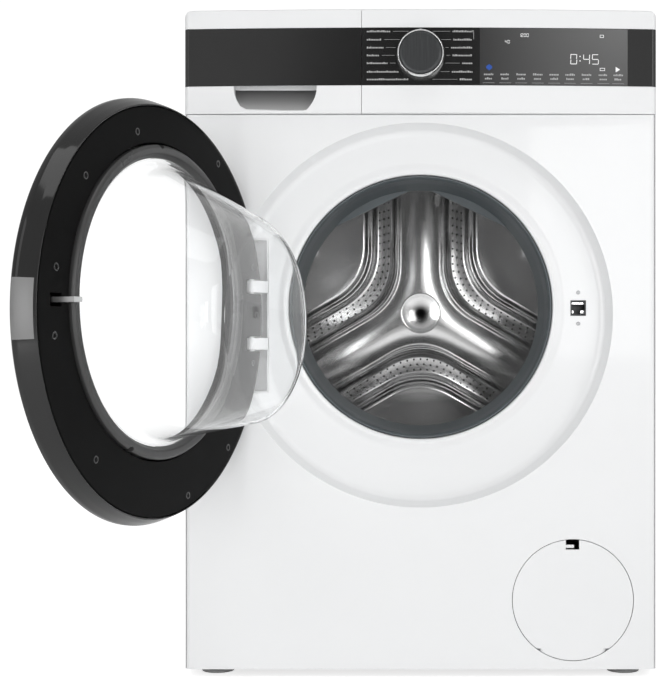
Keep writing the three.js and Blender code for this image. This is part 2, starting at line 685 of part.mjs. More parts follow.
function drumShell() {
  return turned([
    [163, DRUM_FRONT - 2], [231, DRUM_FRONT - 0.5], [237.5, DRUM_FRONT + 6],
    [237.5, DRUM_BACK - 0.5], [DRUM_R, DRUM_BACK - 0.5], [DRUM_R, DRUM_FRONT + 7],
    [230.5, DRUM_FRONT + 1], [164, DRUM_FRONT - 0.2], [162, DRUM_FRONT + 6], [160.5, DRUM_FRONT + 6],
  ], 0, AXIS_Z);
}

function drumBack() {
  const plate = turned([
    [0, DRUM_BACK], [237.5, DRUM_BACK], [237.5, DRUM_BACK + 2], [0, DRUM_BACK + 2],
  ], 0, AXIS_Z);
  const arms = THIRDS.map((angle) => starArm(angle, 68, 205, DRUM_BACK - 12, DRUM_BACK + 1));
  const hub = turned([
    [0, DRUM_BACK - 12], [60, DRUM_BACK - 12], [75, DRUM_BACK + 1], [0, DRUM_BACK + 1],
  ], 0, AXIS_Z, COARSE);
  return join(plate, hub, ...arms);
}

function hubCap() {
  return turned([
    [0, DRUM_BACK - 18], [20, DRUM_BACK - 20], [30, DRUM_BACK - 21], [32, DRUM_BACK - 19],
    [32, DRUM_BACK - 12.4], [0, DRUM_BACK - 12.4],
  ], 0, AXIS_Z, COARSE);
}

function lifter(angle) {
  const shape = new THREE.Shape();
  shape.moveTo(-26, 232);
  shape.quadraticCurveTo(-10, 226, -7, 204);
  shape.absarc(0, 201, 7, Math.PI, 0, false);
  shape.quadraticCurveTo(10, 226, 26, 232);
  const ridge = extrudeBack(shape, FRONT + DRUM_FRONT + 30, FRONT + DRUM_BACK - 24, 5);
  return ridge.rotateY(THREE.MathUtils.degToRad(angle)).translate(0, 0, AXIS_Z);
}

function drumSpider() {
  const hub = bar('y', 40, FRONT + 473, FRONT + 482, 0, AXIS_Z, 24);
  const arms = THIRDS.map((angle) => starArm(angle, 36, 214, 473, 481));
  const shaft = bar('y', SHAFT_R, FRONT + 478, FRONT + 568, 0, AXIS_Z, 20);
  return join(hub, shaft, ...arms);
}

function bearing(depth) {
  return turned([
    [SHAFT_R + GAP, depth], [31, depth], [31, depth + 16], [SHAFT_R + GAP, depth + 16],
  ], 0, AXIS_Z, 20);
}

function shaftSeal() {
  return turned([
    [SHAFT_R + GAP, 485], [31, 485], [31, 492], [SHAFT_R + GAP, 492],
  ], 0, AXIS_Z, 20);
}

function drumPulley() {
  const wheel = turned([
    [SHAFT_R + GAP, PULLEY_DEPTH], [26, PULLEY_DEPTH], [26, PULLEY_DEPTH + 6], [132, PULLEY_DEPTH + 6],
    [132, PULLEY_DEPTH], [PULLEY_R, PULLEY_DEPTH], [PULLEY_R, PULLEY_DEPTH + 16],
    [132, PULLEY_DEPTH + 16], [132, PULLEY_DEPTH + 10], [26, PULLEY_DEPTH + 10],
    [26, PULLEY_DEPTH + 16], [SHAFT_R + GAP, PULLEY_DEPTH + 16],
  ], 0, AXIS_Z, COARSE);
  const windows = THIRDS.map((angle) => {
    const hole = bar('y', 34, FRONT + PULLEY_DEPTH - 2, FRONT + PULLEY_DEPTH + 20, 0, 80, 8);
    return hole.rotateY(THREE.MathUtils.degToRad(angle)).translate(0, 0, AXIS_Z);
  });
  return cut(wheel, ...windows);
}

// The outline of a belt round the two pulleys, a set distance outside their rims.
function beltOutline(outside) {
  const big = PULLEY_R + outside;
  const small = MOTOR_PULLEY_R + outside;
  const lean = Math.asin((big - small) / (AXIS_Z - MOTOR_Z));
  const shape = new THREE.Shape();
  shape.absarc(0, AXIS_Z, big, -lean, Math.PI + lean);
  shape.absarc(0, MOTOR_Z, small, Math.PI + lean, 2 * Math.PI - lean);
  return shape;
}

function driveBelt() {
  const depth = FRONT + PULLEY_DEPTH + 2;
  const outer = extrudeBack(beltOutline(BELT_SLACK + BELT_THICK), depth, depth + BELT_WIDTH, 12);
  const inner = extrudeBack(beltOutline(BELT_SLACK), depth - 5, depth + BELT_WIDTH + 5, 12);
  return cut(outer, inner);
}

function motorHousing() {
  const can = bar('y', 60, FRONT + 440, FRONT + 534, 0, MOTOR_Z, COARSE);
  const chamber = bar('y', 42, FRONT + 452, FRONT + 524, 0, MOTOR_Z, COARSE);
  const bore = bar('y', 7, FRONT + 430, FRONT + 540, 0, MOTOR_Z, SMALL);
  const lugs = [-1, 1].map((side) => {
    const x = side * 62;
    return box(x - 10, x + 10, FRONT + 455, FRONT + 480, MOTOR_Z - 10, 211);
  });
  const bridge = box(-66, 66, FRONT + 455, FRONT + 480, MOTOR_Z - 10, MOTOR_Z + 10);
  return cut(join(can, bridge, ...lugs), chamber, bore);
}

function motorRotor() {
  const core = bar('y', 40, FRONT + 455, FRONT + 521, 0, MOTOR_Z, COARSE);
  const shaft = bar('y', 6, FRONT + 436, FRONT + 566, 0, MOTOR_Z, SMALL);
  const pulley = bar('y', MOTOR_PULLEY_R, FRONT + 546, FRONT + 562, 0, MOTOR_Z, COARSE);
  return join(core, shaft, pulley);
}

// ---- suspension ---------------------------------------------------------------------

class Helix extends THREE.Curve {
  constructor(x, y, low, high, radius, turns) {
    super();
    Object.assign(this, { x, y, low, high, radius, turns });
  }

  getPoint(t) {
    const angle = 2 * Math.PI * this.turns * t;
    const x = this.x + this.radius * Math.cos(angle);
    const y = this.y + this.radius * Math.sin(angle);
    return new THREE.Vector3(x, y, this.low + (this.high - this.low) * t);
  }
}

function hangerSpring(side) {
  const turns = 6;
  const wire = new THREE.Shape();
  wire.absarc(0, 0, 1.8, 0, 2 * Math.PI);
  const path = new Helix(side * SPRING_X, SPRING_Y, 644, 795, 12, turns);
  return new THREE.ExtrudeGeometry(wire, {
    steps: turns * 9, extrudePath: path, bevelEnabled: false, curveSegments: 2,
  });
}

function damperTube(side) {
  const profile = [[0, 4], [22, 4], [22, 8], [17, 10], [17, 165], [7.3, 165], [7.3, 40], [0, 40]];
  return turnedUpright(profile, side * DAMPER_X, DAMPER_Y, 16);
}

function damperRod(side) {
  const profile = [[0, 62], [7, 62], [7, 250], [12, 252], [12, 268.6], [0, 268.6]];
  return turnedUpright(profile, side * DAMPER_X, DAMPER_Y, 16);
}

// ---- water path ---------------------------------------------------------------------

function fillBellows() {
  const profile = [];
  const low = 680.5;
  const folds = 4;
  const pitch = (727.5 - low) / folds;
  profile.push([9, low], [14, low]);
  for (let i = 0; i < folds; i += 1) {
    profile.push([17, low + pitch * (i + 0.5)], [14, low + pitch * (i + 1)]);
  }
  profile.push([9, 727.5]);
  return turnedUpright(profile, FILL_X, FILL_Y, 16);
}

function inletValve() {
  const spigot = turned([
    [8, 560], [13.2, 560], [13.2, 596], [8, 596], [8, 590],
  ], -220, 770, 16);
  const body = box(-240, -200, 264, 283, 750, 790);
  return join(spigot, body);
}

function drainOutlet() {
  return turned([
    [8, 565], [18, 565], [18, 575], [11, 575], [11, 604], [12, 606], [11, 608], [8, 608],
  ], 60, 764, SMALL);
}

function cableGland() {
  return turned([
    [4, 571], [15, 571], [15, 576.5], [10.4, 576.5], [10.4, 579.6],
    [14, 579.6], [14, 583], [9, 592], [4, 592],
  ], 230, 764, SMALL);
}

function drainPump() {
  const y = (depth) => FRONT + depth;
  const filterTube = bar('y', 34, y(34), y(100), FLAP_X, PUMP_Z, COARSE);
  const volute = bar('y', 38, y(98), y(128), FLAP_X, PUMP_Z, COARSE);
  const motor = bar('y', 24, y(126), y(180), FLAP_X, PUMP_Z, COARSE);
  const inlet = bar('z', 15, PUMP_Z, 128, FLAP_X - 30, y(112), 16);
  const stand = box(FLAP_X - 30, FLAP_X + 30, y(60), y(170), 3.5, PUMP_Z);
  const filterBore = bar('y', 29.5, y(20), y(94), FLAP_X, PUMP_Z, COARSE);
  const throat = bar('y', 12, y(80), y(110), FLAP_X, PUMP_Z, SMALL);
  const chamber = bar('y', 28, y(102), y(122), FLAP_X, PUMP_Z, COARSE);
  const axle = bar('y', 3.4, y(100), y(150), FLAP_X, PUMP_Z, SMALL);
  return cut(join(filterTube, volute, motor, inlet, stand), filterBore, throat, chamber, axle);
}

function pumpFilter() {
  const plug = bar('y', 29, FRONT + 36, FRONT + 90, FLAP_X, PUMP_Z, COARSE);
  const cap = bar('y', 36, FRONT + 28, FRONT + 33.5, FLAP_X, PUMP_Z, COARSE);
  const neck = bar('y', 27, FRONT + 32, FRONT + 40, FLAP_X, PUMP_Z, COARSE);
  const grip = box(FLAP_X - 30, FLAP_X + 30, FRONT + 14, FRONT + 30, PUMP_Z - 5, PUMP_Z + 5);
  const basket = box(FLAP_X - 20, FLAP_X + 20, FRONT + 50, FRONT + 95, PUMP_Z - 18, PUMP_Z + 18);
  return cut(join(plug, cap, neck, grip), basket);
}

function pumpImpeller() {
  const hub = bar('y', 7, FRONT + 104, FRONT + 120, FLAP_X, PUMP_Z, SMALL);
  const shaft = bar('y', 3, FRONT + 112, FRONT + 148, FLAP_X, PUMP_Z, SMALL);
  const vanes = [
    box(FLAP_X - 24, FLAP_X + 24, FRONT + 105, FRONT + 119, PUMP_Z - 1.5, PUMP_Z + 1.5),
    box(FLAP_X - 1.5, FLAP_X + 1.5, FRONT + 105, FRONT + 119, PUMP_Z - 24, PUMP_Z + 24),
  ];
  return join(hub, shaft, ...vanes);
}

function sumpHose() {
  return tube([
    [90, -110, 204.5], [90, -110, 188], [104, -130, 160],
    [140, -160, 152], [163, -178, 142], [163, -178, 128.5],
  ], 14, 14);
}

// ---- assembly -----------------------------------------------------------------------

const machine = new THREE.Group();

machine.add(
  named('cabinet_wrap', cabinetWrap(), WHITE_PAINT),
  named('front_panel', frontPanel(), WHITE_PAINT),
  named('rear_cover', rearCover(), ZINC),
  named('worktop', worktop(), WHITE_PLASTIC),
  named('base_tray', baseTray(), DARK_PLASTIC),
  named('control_fascia', controlFascia(), WHITE_PLASTIC),
  named('fascia_glass', fasciaGlass(), BLACK_GLASS),
  named('control_board', controlBoard(), DARK_PLASTIC),
  named('dispenser_housing', dispenserHousing(), GREY_PLASTIC),
  named('hinge_bracket', hingeBracket(), WHITE_PLASTIC),
  named('door_lock', doorLock(), DARK_METAL),
  named('gasket', gasket(), GREY_RUBBER),
  named('spring_left', hangerSpring(-1), ZINC),
  named('spring_right', hangerSpring(1), ZINC),
  named('damper_tube_left', damperTube(-1), GREY_PLASTIC),
  named('damper_tube_right', damperTube(1), GREY_PLASTIC),
  named('fill_bellows', fillBellows(), BLACK_RUBBER),
  named('sump_hose', sumpHose(), BLACK_RUBBER),
  named('inlet_valve', inletValve(), GREY_PLASTIC),
  named('drain_outlet', drainOutlet(), GREY_PLASTIC),
  named('cable_gland', cableGland(), DARK_PLASTIC),
  named('drain_pump', drainPump(), WHITE_PLASTIC),
);

for (const [place, x, y] of FOOT_PLACES) {
  machine.add(named(`foot_${place}`, foot(x, y), BLACK_RUBBER));
}

const door = new THREE.Group();
door.position.set(HINGE_X, FRONT + HINGE_DEPTH, 0);
door.rotation.z = -THREE.MathUtils.degToRad(DOOR_OPEN);
door.add(
  named('door_outer_ring', doorOuterRing(), BLACK_GLOSS),
  named('door_inner_frame', doorInnerFrame(), BLACK_GLOSS),
  named('door_bowl', doorBowl(), CLEAR_GLASS),
  named('latch_hook', latchHook(), ZINC),
);
machine.add(door);

const drawer = new THREE.Group();
drawer.add(
  named('drawer_front', drawerFront(), WHITE_PLASTIC),
  named('drawer_glass', drawerGlass(), BLACK_GLASS),
  named('drawer_tray', drawerTray(), GREY_PLASTIC),
  named('siphon_cap', siphonCap(), GREY_PLASTIC),
);
machine.add(drawer);

const knob = new THREE.Group();
knob.add(named('knob_cap', knobCap(), DARK_METAL), named('knob_ring', knobRing(), CHROME));
machine.add(knob);

machine.add(
  named('service_flap', serviceFlap(), WHITE_PAINT),
  named('pump_filter', pumpFilter(), GREY_PLASTIC),
  named('pump_impeller', pumpImpeller(), DARK_PLASTIC),
);

const tub = new THREE.Group();
tub.add(
  named('tub_front', tubFront(), GREY_PLASTIC),
  named('tub_rear', tubRear(), GREY_PLASTIC),
  named('counterweight_front', counterweightFront(), CONCRETE),
  named('counterweight_top', counterweightTop(), CONCRETE),
  named('heater', heater(), STAINLESS),
  named('motor_housing', motorHousing(), DARK_METAL),
  named('drive_belt', driveBelt(), BLACK_RUBBER),
  named('bearing_front', bearing(494), ZINC),
  named('bearing_rear', bearing(520), ZINC),
  named('shaft_seal', shaftSeal(), BLACK_RUBBER),
  named('damper_rod_left', damperRod(-1), ZINC),
  named('damper_rod_right', damperRod(1), ZINC),
);
machine.add(tub);

const drum = new THREE.Group();
drum.add(
  named('drum_shell', drumShell(), STAINLESS),
  named('drum_back', drumBack(), STAINLESS),
  named('hub_cap', hubCap(), CHROME),
  named('drum_spider', drumSpider(), CAST_ALLOY),
  named('drum_pulley', drumPulley(), CAST_ALLOY),
);
for (const [i, angle] of [60, 180, 300].entries()) {
  drum.add(named(`lifter_${i + 1}`, lifter(angle), STAINLESS));
}
machine.add(drum);

machine.add(named('motor_rotor', motorRotor(), DARK_METAL));

export default machine;
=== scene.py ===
"""Front load washing machine: the finished look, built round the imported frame."""
import math
import random

import bmesh
import bpy
from mathutils import Matrix, Vector


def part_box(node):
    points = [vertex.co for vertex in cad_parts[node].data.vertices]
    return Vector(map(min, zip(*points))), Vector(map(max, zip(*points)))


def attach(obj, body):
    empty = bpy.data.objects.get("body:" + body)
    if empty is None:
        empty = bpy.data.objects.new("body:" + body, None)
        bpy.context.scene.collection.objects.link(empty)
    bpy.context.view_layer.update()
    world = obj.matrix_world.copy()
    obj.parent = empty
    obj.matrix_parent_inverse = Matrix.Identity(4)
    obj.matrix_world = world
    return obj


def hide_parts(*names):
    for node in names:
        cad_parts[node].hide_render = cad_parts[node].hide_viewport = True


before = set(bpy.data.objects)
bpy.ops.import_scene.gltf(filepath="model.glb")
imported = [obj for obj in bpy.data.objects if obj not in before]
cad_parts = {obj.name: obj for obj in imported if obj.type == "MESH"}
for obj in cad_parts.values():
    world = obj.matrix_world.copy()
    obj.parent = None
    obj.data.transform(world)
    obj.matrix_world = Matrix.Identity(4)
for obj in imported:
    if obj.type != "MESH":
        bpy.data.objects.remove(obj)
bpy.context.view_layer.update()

MM = 0.001


def low_corner(node):
    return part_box(node)[0] / MM


def high_corner(node):
    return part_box(node)[1] / MM


# ---- driving dimensions, in millimetres -----------------------------------------------

FRONT = low_corner("front_panel").y
HALF = high_corner("front_panel").x
PANEL_LOW = low_corner("front_panel").z
PANEL_HIGH = high_corner("front_panel").z
FASCIA_LOW = low_corner("control_fascia").z
FASCIA_HIGH = high_corner("control_fascia").z
FASCIA_REAR = high_corner("control_fascia").y
DRAWER_SPLIT = low_corner("control_fascia").x
DRAWER_EDGE = high_corner("drawer_front").x
BAND_LOW = low_corner("fascia_glass").z
BAND_HIGH = high_corner("fascia_glass").z
FLOOR = low_corner("foot_front_left").z
FASCIA_BOW = 12
FASCIA_CORNER = 6

RING_Z = 449
AXIS_Z = 460
LIFT = AXIS_Z - RING_Z
RECESS_R = 243.8
RECESS_DEPTH = 26
PORTHOLE_R = 169

HINGE = Vector((-214.5, FRONT + 8, 0))
DOOR_OPEN = math.radians(112.3)
DOOR_SPARE = math.radians(4)
DOOR_FACE = 4
DOOR_U = 214.5
HINGE_ARMS = (RING_Z - 36.5, RING_Z + 36.5)

LOCK = Vector((202.4, 0, 458.5))
KNOB_Z = 776
KNOB_R = 29.7
FLAP = Vector((193, 0, 88))
FLAP_R = 76.5
FLAP_PIN = Vector((0, FRONT + 3.4, 24))
FLAP_OPEN = 78
BOWL_DROP = 22

DRUM_R = 236
DRUM_FRONT = 120
DRUM_BACK = 470

ROUND = 192


# ---- shader node groups ---------------------------------------------------------------

def group_of(name, inputs, outputs):
    """A new shader node group with named sockets, and a helper that adds nodes to it."""
    group = bpy.data.node_groups.new(name, "ShaderNodeTree")
    for label, kind, value in inputs:
        socket = group.interface.new_socket(label, in_out="INPUT", socket_type=kind)
        socket.default_value = value
    for label, kind in outputs:
        group.interface.new_socket(label, in_out="OUTPUT", socket_type=kind)
    return group


NUMBER, COLOUR, DIRECTION = "NodeSocketFloat", "NodeSocketColor", "NodeSocketVector"


def add_node(tree, kind, inputs=(), **settings):
    node = tree.nodes.new(kind)
    for key, value in settings.items():
        setattr(node, key, value)
    for socket, value in dict(inputs).items():
        if isinstance(value, bpy.types.NodeSocket):
            tree.links.new(value, node.inputs[socket])
        else:
            node.inputs[socket].default_value = value
    return node


def maths(tree, operation, a, b=0.0):
    return add_node(tree, "ShaderNodeMath", {0: a, 1: b}, operation=operation).outputs[0]


def mix_colours(tree, share, first, second):
    node = tree.nodes.new("ShaderNodeMix")
    node.data_type = "RGBA"
    for socket, value in ((0, share), (6, first), (7, second)):
        if isinstance(value, bpy.types.NodeSocket):
            tree.links.new(value, node.inputs[socket])
        else:
            node.inputs[socket].default_value = value
    return node.outputs[2]


def surface_group():
    """Colour drift, roughness drift and a fine skin, as moulded and painted faces have."""
    group = group_of("surface drift", [
        ("Colour", COLOUR, (0.8, 0.8, 0.8, 1)), ("Second Colour", COLOUR, (0.7, 0.7, 0.7, 1)),
        ("Drift Scale", NUMBER, 6.0), ("Drift", NUMBER, 0.5),
        ("Grain Scale", NUMBER, 900.0), ("Roughness", NUMBER, 0.4), ("Spread", NUMBER, 0.1),
    ], [("Colour", COLOUR), ("Roughness", NUMBER), ("Height", NUMBER)])
    source = group.nodes.new("NodeGroupInput").outputs
    sink = group.nodes.new("NodeGroupOutput").inputs
    place = add_node(group, "ShaderNodeTexCoord").outputs["Object"]
    drift = add_node(group, "ShaderNodeTexNoise", {
        "Vector": place, "Scale": source["Drift Scale"], "Detail": 3.0, "Roughness": 0.55,
    }).outputs["Fac"]
    grain = add_node(group, "ShaderNodeTexNoise", {
        "Vector": place, "Scale": source["Grain Scale"], "Detail": 1.0,
    }).outputs["Fac"]
    share = maths(group, "MULTIPLY", drift, source["Drift"])
    group.links.new(mix_colours(group, share, source["Colour"], source["Second Colour"]),
                    sink["Colour"])
    offset = maths(group, "MULTIPLY", maths(group, "SUBTRACT", drift, 0.5), source["Spread"])
    group.links.new(maths(group, "ADD", source["Roughness"], offset), sink["Roughness"])
    group.links.new(grain, sink["Height"])
    return group


def brushing_group():
    """Fine lines drawn along one direction, as brushing and rolling leave in metal."""
    group = group_of("brushed lines", [
        ("Stretch", DIRECTION, (8.0, 900.0, 900.0)), ("Colour", COLOUR, (0.7, 0.7, 0.7, 1)),
        ("Line Colour", COLOUR, (0.6, 0.6, 0.6, 1)), ("Roughness", NUMBER, 0.2),
        ("Spread", NUMBER, 0.1),
    ], [("Colour", COLOUR), ("Roughness", NUMBER), ("Height", NUMBER)])
    source = group.nodes.new("NodeGroupInput").outputs
    sink = group.nodes.new("NodeGroupOutput").inputs
    place = add_node(group, "ShaderNodeTexCoord").outputs["Object"]
    stretched = add_node(group, "ShaderNodeVectorMath", {
        0: place, 1: source["Stretch"]}, operation="MULTIPLY").outputs[0]
    lines = add_node(group, "ShaderNodeTexNoise", {
        "Vector": stretched, "Scale": 1.0, "Detail": 2.0}).outputs["Fac"]
    smears = add_node(group, "ShaderNodeTexNoise", {
        "Vector": place, "Scale": 9.0, "Detail": 3.0}).outputs["Fac"]
    group.links.new(mix_colours(group, lines, source["Colour"], source["Line Colour"]),
                    sink["Colour"])
    both = maths(group, "MULTIPLY", maths(group, "ADD", lines, smears), source["Spread"])
    group.links.new(maths(group, "ADD", source["Roughness"], both), sink["Roughness"])
    group.links.new(lines, sink["Height"])
    return group


def edge_tone_group():
    """Lightens sharp outer edges and darkens hollows where faces meet, in noise patches."""
    group = group_of("edge and hollow tone", [
        ("Colour", COLOUR, (0.8, 0.8, 0.8, 1)), ("Edge Colour", COLOUR, (0.9, 0.9, 0.9, 1)),
        ("Hollow Colour", COLOUR, (0.5, 0.48, 0.45, 1)), ("Edge Lightening", NUMBER, 0.3), ("Hollow Darkening", NUMBER, 0.2),
    ], [("Colour", COLOUR), ("Mask", NUMBER)])
    source = group.nodes.new("NodeGroupInput").outputs
    sink = group.nodes.new("NodeGroupOutput").inputs
    place = add_node(group, "ShaderNodeTexCoord").outputs["Object"]
    point = add_node(group, "ShaderNodeNewGeometry").outputs["Pointiness"]
    patches = add_node(group, "ShaderNodeTexNoise", {
        "Vector": place, "Scale": 40.0, "Detail": 4.0}).outputs["Fac"]
    edge = add_node(group, "ShaderNodeMapRange", {0: point, 1: 0.53, 2: 0.62}).outputs[0]
    hollow = add_node(group, "ShaderNodeMapRange", {0: point, 1: 0.47, 2: 0.38}).outputs[0]
    edge_lift = maths(group, "MULTIPLY", maths(group, "MULTIPLY", edge, patches), source["Edge Lightening"])
    hollow_dark = maths(group, "MULTIPLY", maths(group, "MULTIPLY", hollow, patches), source["Hollow Darkening"])
    edged = mix_colours(group, edge_lift, source["Colour"], source["Edge Colour"])
    group.links.new(mix_colours(group, hollow_dark, edged, source["Hollow Colour"]), sink["Colour"])
    group.links.new(edge_lift, sink["Mask"])
    return group


SURFACE = surface_group()
BRUSHING = brushing_group()
EDGE_TONE = edge_tone_group()


def shade(value, tint=(1.0, 1.0, 1.0)):
    return (value * tint[0], value * tint[1], value * tint[2], 1.0)


def new_material(name, look, colour):
    made = bpy.data.materials.new(name)
    made.use_nodes = True
    made.diffuse_color = colour
    shader = made.node_tree.nodes["Principled BSDF"]
    for socket, value in look.items():
        shader.inputs[socket].default_value = value
    return made, made.node_tree, shader


def feed_bump(tree, shader, height, depth_mm):
    bump = add_node(tree, "ShaderNodeBump", {
        "Height": height, "Distance": depth_mm * MM, "Strength": 1.0})
    tree.links.new(bump.outputs[0], shader.inputs["Normal"])


def edge_tone_surface(tree, shader, base, edge_lift, hollow_dark, edge_colour, depth):
    """Joins a base group's outputs to the shader, lightening outer edges and darkening hollows on
    the way.
    """
    edge_toned = add_node(tree, "ShaderNodeGroup", {
        "Edge Lightening": edge_lift, "Hollow Darkening": hollow_dark, "Edge Colour": edge_colour}, node_tree=EDGE_TONE)
    tree.links.new(base["Colour"], edge_toned.inputs["Colour"])
    tree.links.new(edge_toned.outputs["Colour"], shader.inputs["Base Color"])
    tree.links.new(base["Roughness"], shader.inputs["Roughness"])
    feed_bump(tree, shader, base["Height"], depth)


def moulded(name, colour, second, roughness, spread=0.08, drift_scale=5.0, grain=900.0,
            depth=0.02, edge_lift=0.25, hollow_dark=0.15, **look):
    """A painted, moulded or rubber finish."""
    made, tree, shader = new_material(name, look, colour)
    base = add_node(tree, "ShaderNodeGroup", {
        "Colour": colour, "Second Colour": second, "Drift": 1.0, "Drift Scale": drift_scale,
        "Grain Scale": grain, "Roughness": roughness, "Spread": spread}, node_tree=SURFACE)
    edge_tone_surface(tree, shader, base.outputs, edge_lift, hollow_dark, tuple(min(1.0, c * 1.25) for c in colour),
                 depth)
    return made


def drawn_metal(name, colour, second, roughness, spread, stretch, depth=0.004, edge_lift=0.2,
                hollow_dark=0.1, **look):
    """A rolled, brushed or turned metal finish."""
    made, tree, shader = new_material(name, {"Metallic": 1.0, **look}, colour)
    base = add_node(tree, "ShaderNodeGroup", {
        "Stretch": stretch, "Colour": colour, "Line Colour": second, "Roughness": roughness,
        "Spread": spread}, node_tree=BRUSHING)
    edge_tone_surface(tree, shader, base.outputs, edge_lift, hollow_dark, tuple(min(1.0, c * 1.3) for c in colour),
                 depth)
    return made


def clear_moulding(name, tint, roughness):
    """Clear pressed glass with a faint swirl, and a faint painted glow in its surface standing in
    for the grey veil of reflections.
    """
    # The small emission is a painted glow standing in for reflections in the glass.
    made, tree, shader = new_material(name, {
        "Metallic": 0.0, "Transmission Weight": 1.0, "IOR": 1.05, "Coat Weight": 1.0,
        "Coat IOR": 1.4, "Coat Roughness": 0.04, "Emission Strength": 0.025}, tint)
    base = add_node(tree, "ShaderNodeGroup", {
        "Colour": tint, "Second Colour": tuple(0.985 * c for c in tint), "Drift Scale": 12.0,
        "Grain Scale": 30.0, "Drift": 1.0, "Roughness": roughness, "Spread": 0.01,
    }, node_tree=SURFACE)
    tree.links.new(base.outputs["Colour"], shader.inputs["Base Color"])
    tree.links.new(base.outputs["Roughness"], shader.inputs["Roughness"])
    feed_bump(tree, shader, base.outputs["Height"], 0.05)
    return made


def zinc_spangle():
    """Galvanised sheet with its crystal patches."""
    colour = shade(0.62, (1.0, 1.01, 1.03))
    made, tree, shader = new_material("zinc_sheet", {"Metallic": 1.0}, colour)
    place = add_node(tree, "ShaderNodeTexCoord").outputs["Object"]
    cells = add_node(tree, "ShaderNodeTexVoronoi", {"Vector": place, "Scale": 90.0})
    tone = add_node(tree, "ShaderNodeSeparateColor", {0: cells.outputs["Color"]}).outputs[0]
    edge_toned = add_node(tree, "ShaderNodeGroup", node_tree=EDGE_TONE)
    mixed = mix_colours(tree, tone, colour, shade(0.46, (1.0, 1.01, 1.03)))
    tree.links.new(mixed, edge_toned.inputs["Colour"])
    tree.links.new(edge_toned.outputs["Colour"], shader.inputs["Base Color"])
    rough = add_node(tree, "ShaderNodeMapRange", {0: tone, 3: 0.34, 4: 0.52})
    tree.links.new(rough.outputs[0], shader.inputs["Roughness"])
    feed_bump(tree, shader, cells.outputs["Distance"], 0.02)
    return made


def cast_concrete():
    """Rough cast concrete with air holes."""
    made = moulded("cast_concrete", shade(0.42, (1.0, 0.98, 0.94)), shade(0.28, (1, 0.97, 0.92)),
                   0.92, 0.1, 22.0, 400.0, 0.25, 0.4, 0.4)
    tree = made.node_tree
    place = add_node(tree, "ShaderNodeTexCoord").outputs["Object"]
    holes = add_node(tree, "ShaderNodeTexVoronoi", {"Vector": place, "Scale": 130.0})
    pits = add_node(tree, "ShaderNodeMapRange", {0: holes.outputs["Distance"], 2: 0.3})
    feed_bump(tree, tree.nodes["Principled BSDF"], pits.outputs[0], 0.5)
    return made


def display_painted_reflection():
    """Smoked display window with a painted reflection, lighter towards its right and its top."""
    dark, light = shade(0.022), shade(0.15)
    made, tree, shader = new_material("display_window_painted_reflection", {"Coat Weight": 0.6}, dark)
    place = add_node(tree, "ShaderNodeTexCoord").outputs["Generated"]
    parts = add_node(tree, "ShaderNodeSeparateXYZ", {0: place}).outputs
    across = add_node(tree, "ShaderNodeMapRange", {0: parts[0], 1: -0.15, 2: 0.95}).outputs[0]
    height = add_node(tree, "ShaderNodeMapRange", {0: parts[2], 1: 0.0, 2: 1.0, 3: 0.55,
                                                   4: 1.0}).outputs[0]
    # Painted reflection: the share of the lighter grey grows to the right and upwards.
    both = maths(tree, "MULTIPLY", across, height)
    grain = add_node(tree, "ShaderNodeGroup", node_tree=SURFACE)
    grain.inputs["Drift Scale"].default_value = 7.0
    grain.inputs["Drift"].default_value = 0.15
    grain.inputs["Roughness"].default_value = 0.2
    tree.links.new(mix_colours(tree, both, dark, light), grain.inputs["Colour"])
    grain.inputs["Second Colour"].default_value = shade(0.05)
    tree.links.new(grain.outputs["Colour"], shader.inputs["Base Color"])
    tree.links.new(grain.outputs["Roughness"], shader.inputs["Roughness"])
    return made


def hub_chrome_painted_reflection():
    """Bright chrome with a soft dark middle painted in, as the dark reflection a dished cap shows.
    """
    made = drawn_metal("hub_chrome_painted_reflection", shade(0.9), shade(0.86), 0.1, 0.04, (30.0, 30.0, 30.0),
                       0.0002)
    tree = made.node_tree
    shader = tree.nodes["Principled BSDF"]
    place = add_node(tree, "ShaderNodeTexCoord").outputs["Object"]
    parts = add_node(tree, "ShaderNodeSeparateXYZ", {0: place}).outputs
    rise = maths(tree, "SUBTRACT", parts[2], AXIS_Z * MM)
    away = maths(tree, "SQRT", maths(tree, "ADD", maths(tree, "POWER", parts[0], 2.0),
                                     maths(tree, "POWER", rise, 2.0)))
    # Painted dark reflection: near black at the middle, fading into the chrome between 3 and 24 mm
    # out.
    bright = add_node(tree, "ShaderNodeMapRange", {0: away, 1: 3 * MM, 2: 24 * MM})
    bright.interpolation_type = "SMOOTHSTEP"
    edge_toned = shader.inputs["Base Color"].links[0].from_socket
    tree.links.new(mix_colours(tree, bright.outputs[0], shade(0.015), edge_toned),
                   shader.inputs["Base Color"])
    return made


def scoop_grey_painted_shade():
    """Satin grey with painted shade, darker towards its top edge under the band."""
    dark, light = shade(0.05), shade(0.42)
    made, tree, shader = new_material("scoop_grey_painted_shade", {"Roughness": 0.4}, light)
    place = add_node(tree, "ShaderNodeTexCoord").outputs["Generated"]
    height = add_node(tree, "ShaderNodeSeparateXYZ", {0: place}).outputs[2]
    grain = add_node(tree, "ShaderNodeGroup", node_tree=SURFACE)
    grain.inputs["Drift"].default_value = 0.1
    grain.inputs["Roughness"].default_value = 0.4
    # Painted shade: darker towards the top, under the band's overhang.
    tree.links.new(mix_colours(tree, height, light, dark), grain.inputs["Colour"])
    grain.inputs["Second Colour"].default_value = shade(0.2)
    tree.links.new(grain.outputs["Colour"], shader.inputs["Base Color"])
    tree.links.new(grain.outputs["Roughness"], shader.inputs["Roughness"])
    return made


